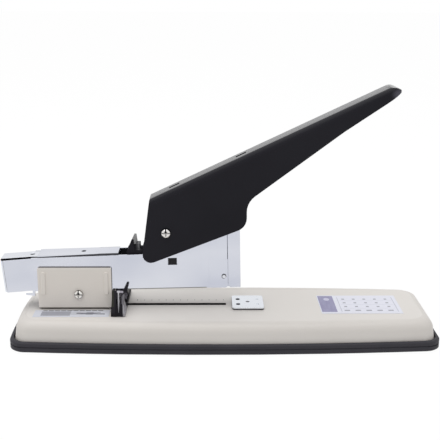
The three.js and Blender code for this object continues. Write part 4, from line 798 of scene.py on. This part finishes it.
# Floor and daylight
FLOOR_SIZE, FLOOR_DROP, FLOOR_TONE = 6.0, 0.0002, (0.80, 0.80, 0.80, 1)
FLOOR_GLOW, FLOOR_GLOW_SHARE = 1.03, 0.93
DAYLIGHT, SEEN_DAYLIGHT = 0.58, 1.0
WHITE = (1, 1, 1, 1)


def make_floor():
    """A pale floor that shows near white and still takes the shadow."""
    bm = bmesh.new()
    bmesh.ops.create_grid(bm, x_segments=2, y_segments=2, size=FLOOR_SIZE)
    mesh = bpy.data.meshes.new("floor")
    bm.to_mesh(mesh)
    bm.free()
    floor = bpy.data.objects.new("floor", mesh)
    floor.location.z = -FLOOR_DROP
    bpy.context.collection.objects.link(floor)
    paint = Paint("floor_white", Base_Color=FLOOR_TONE, Roughness=0.9, Specular_IOR_Level=0.0)
    rays = paint.node("ShaderNodeLightPath").socket.node.outputs
    camera, glossy, through = (
        Wire(paint, rays[kind]) for kind in ("Is Camera Ray", "Is Glossy Ray", "Is Transmission Ray"))
    seen = camera.math("MAXIMUM", glossy).math("MAXIMUM", through)
    glow = paint.node("ShaderNodeEmission", inputs={"Color": WHITE, "Strength": FLOOR_GLOW})
    matt = Wire(paint, paint.shader.outputs[0])
    lit = paint.node("ShaderNodeMixShader", inputs={0: seen * FLOOR_GLOW_SHARE, 1: matt, 2: glow})
    paint.tree.links.new(lit.socket, paint.tree.nodes["Material Output"].inputs["Surface"])
    mesh.materials.append(paint.material)


def make_world():
    """Even daylight, brighter where it is seen or mirrored than where it lights."""
    world = bpy.data.worlds.new("daylight")
    bpy.context.scene.world = world
    world.use_nodes = True
    tree = world.node_tree
    backdrop = tree.nodes["Background"]
    path = tree.nodes.new("ShaderNodeLightPath")
    most = tree.nodes.new("ShaderNodeMath")
    most.operation = "MAXIMUM"
    tree.links.new(path.outputs["Is Camera Ray"], most.inputs[0])
    tree.links.new(path.outputs["Is Glossy Ray"], most.inputs[1])
    level = tree.nodes.new("ShaderNodeMapRange")
    level.inputs["To Min"].default_value = DAYLIGHT
    level.inputs["To Max"].default_value = SEEN_DAYLIGHT
    tree.links.new(most.outputs[0], level.inputs["Value"])
    tree.links.new(level.outputs[0], backdrop.inputs["Strength"])
    backdrop.inputs["Color"].default_value = WHITE


make_floor()
make_world()
make_softbox()
bpy.context.scene.view_settings.view_transform = "Standard"
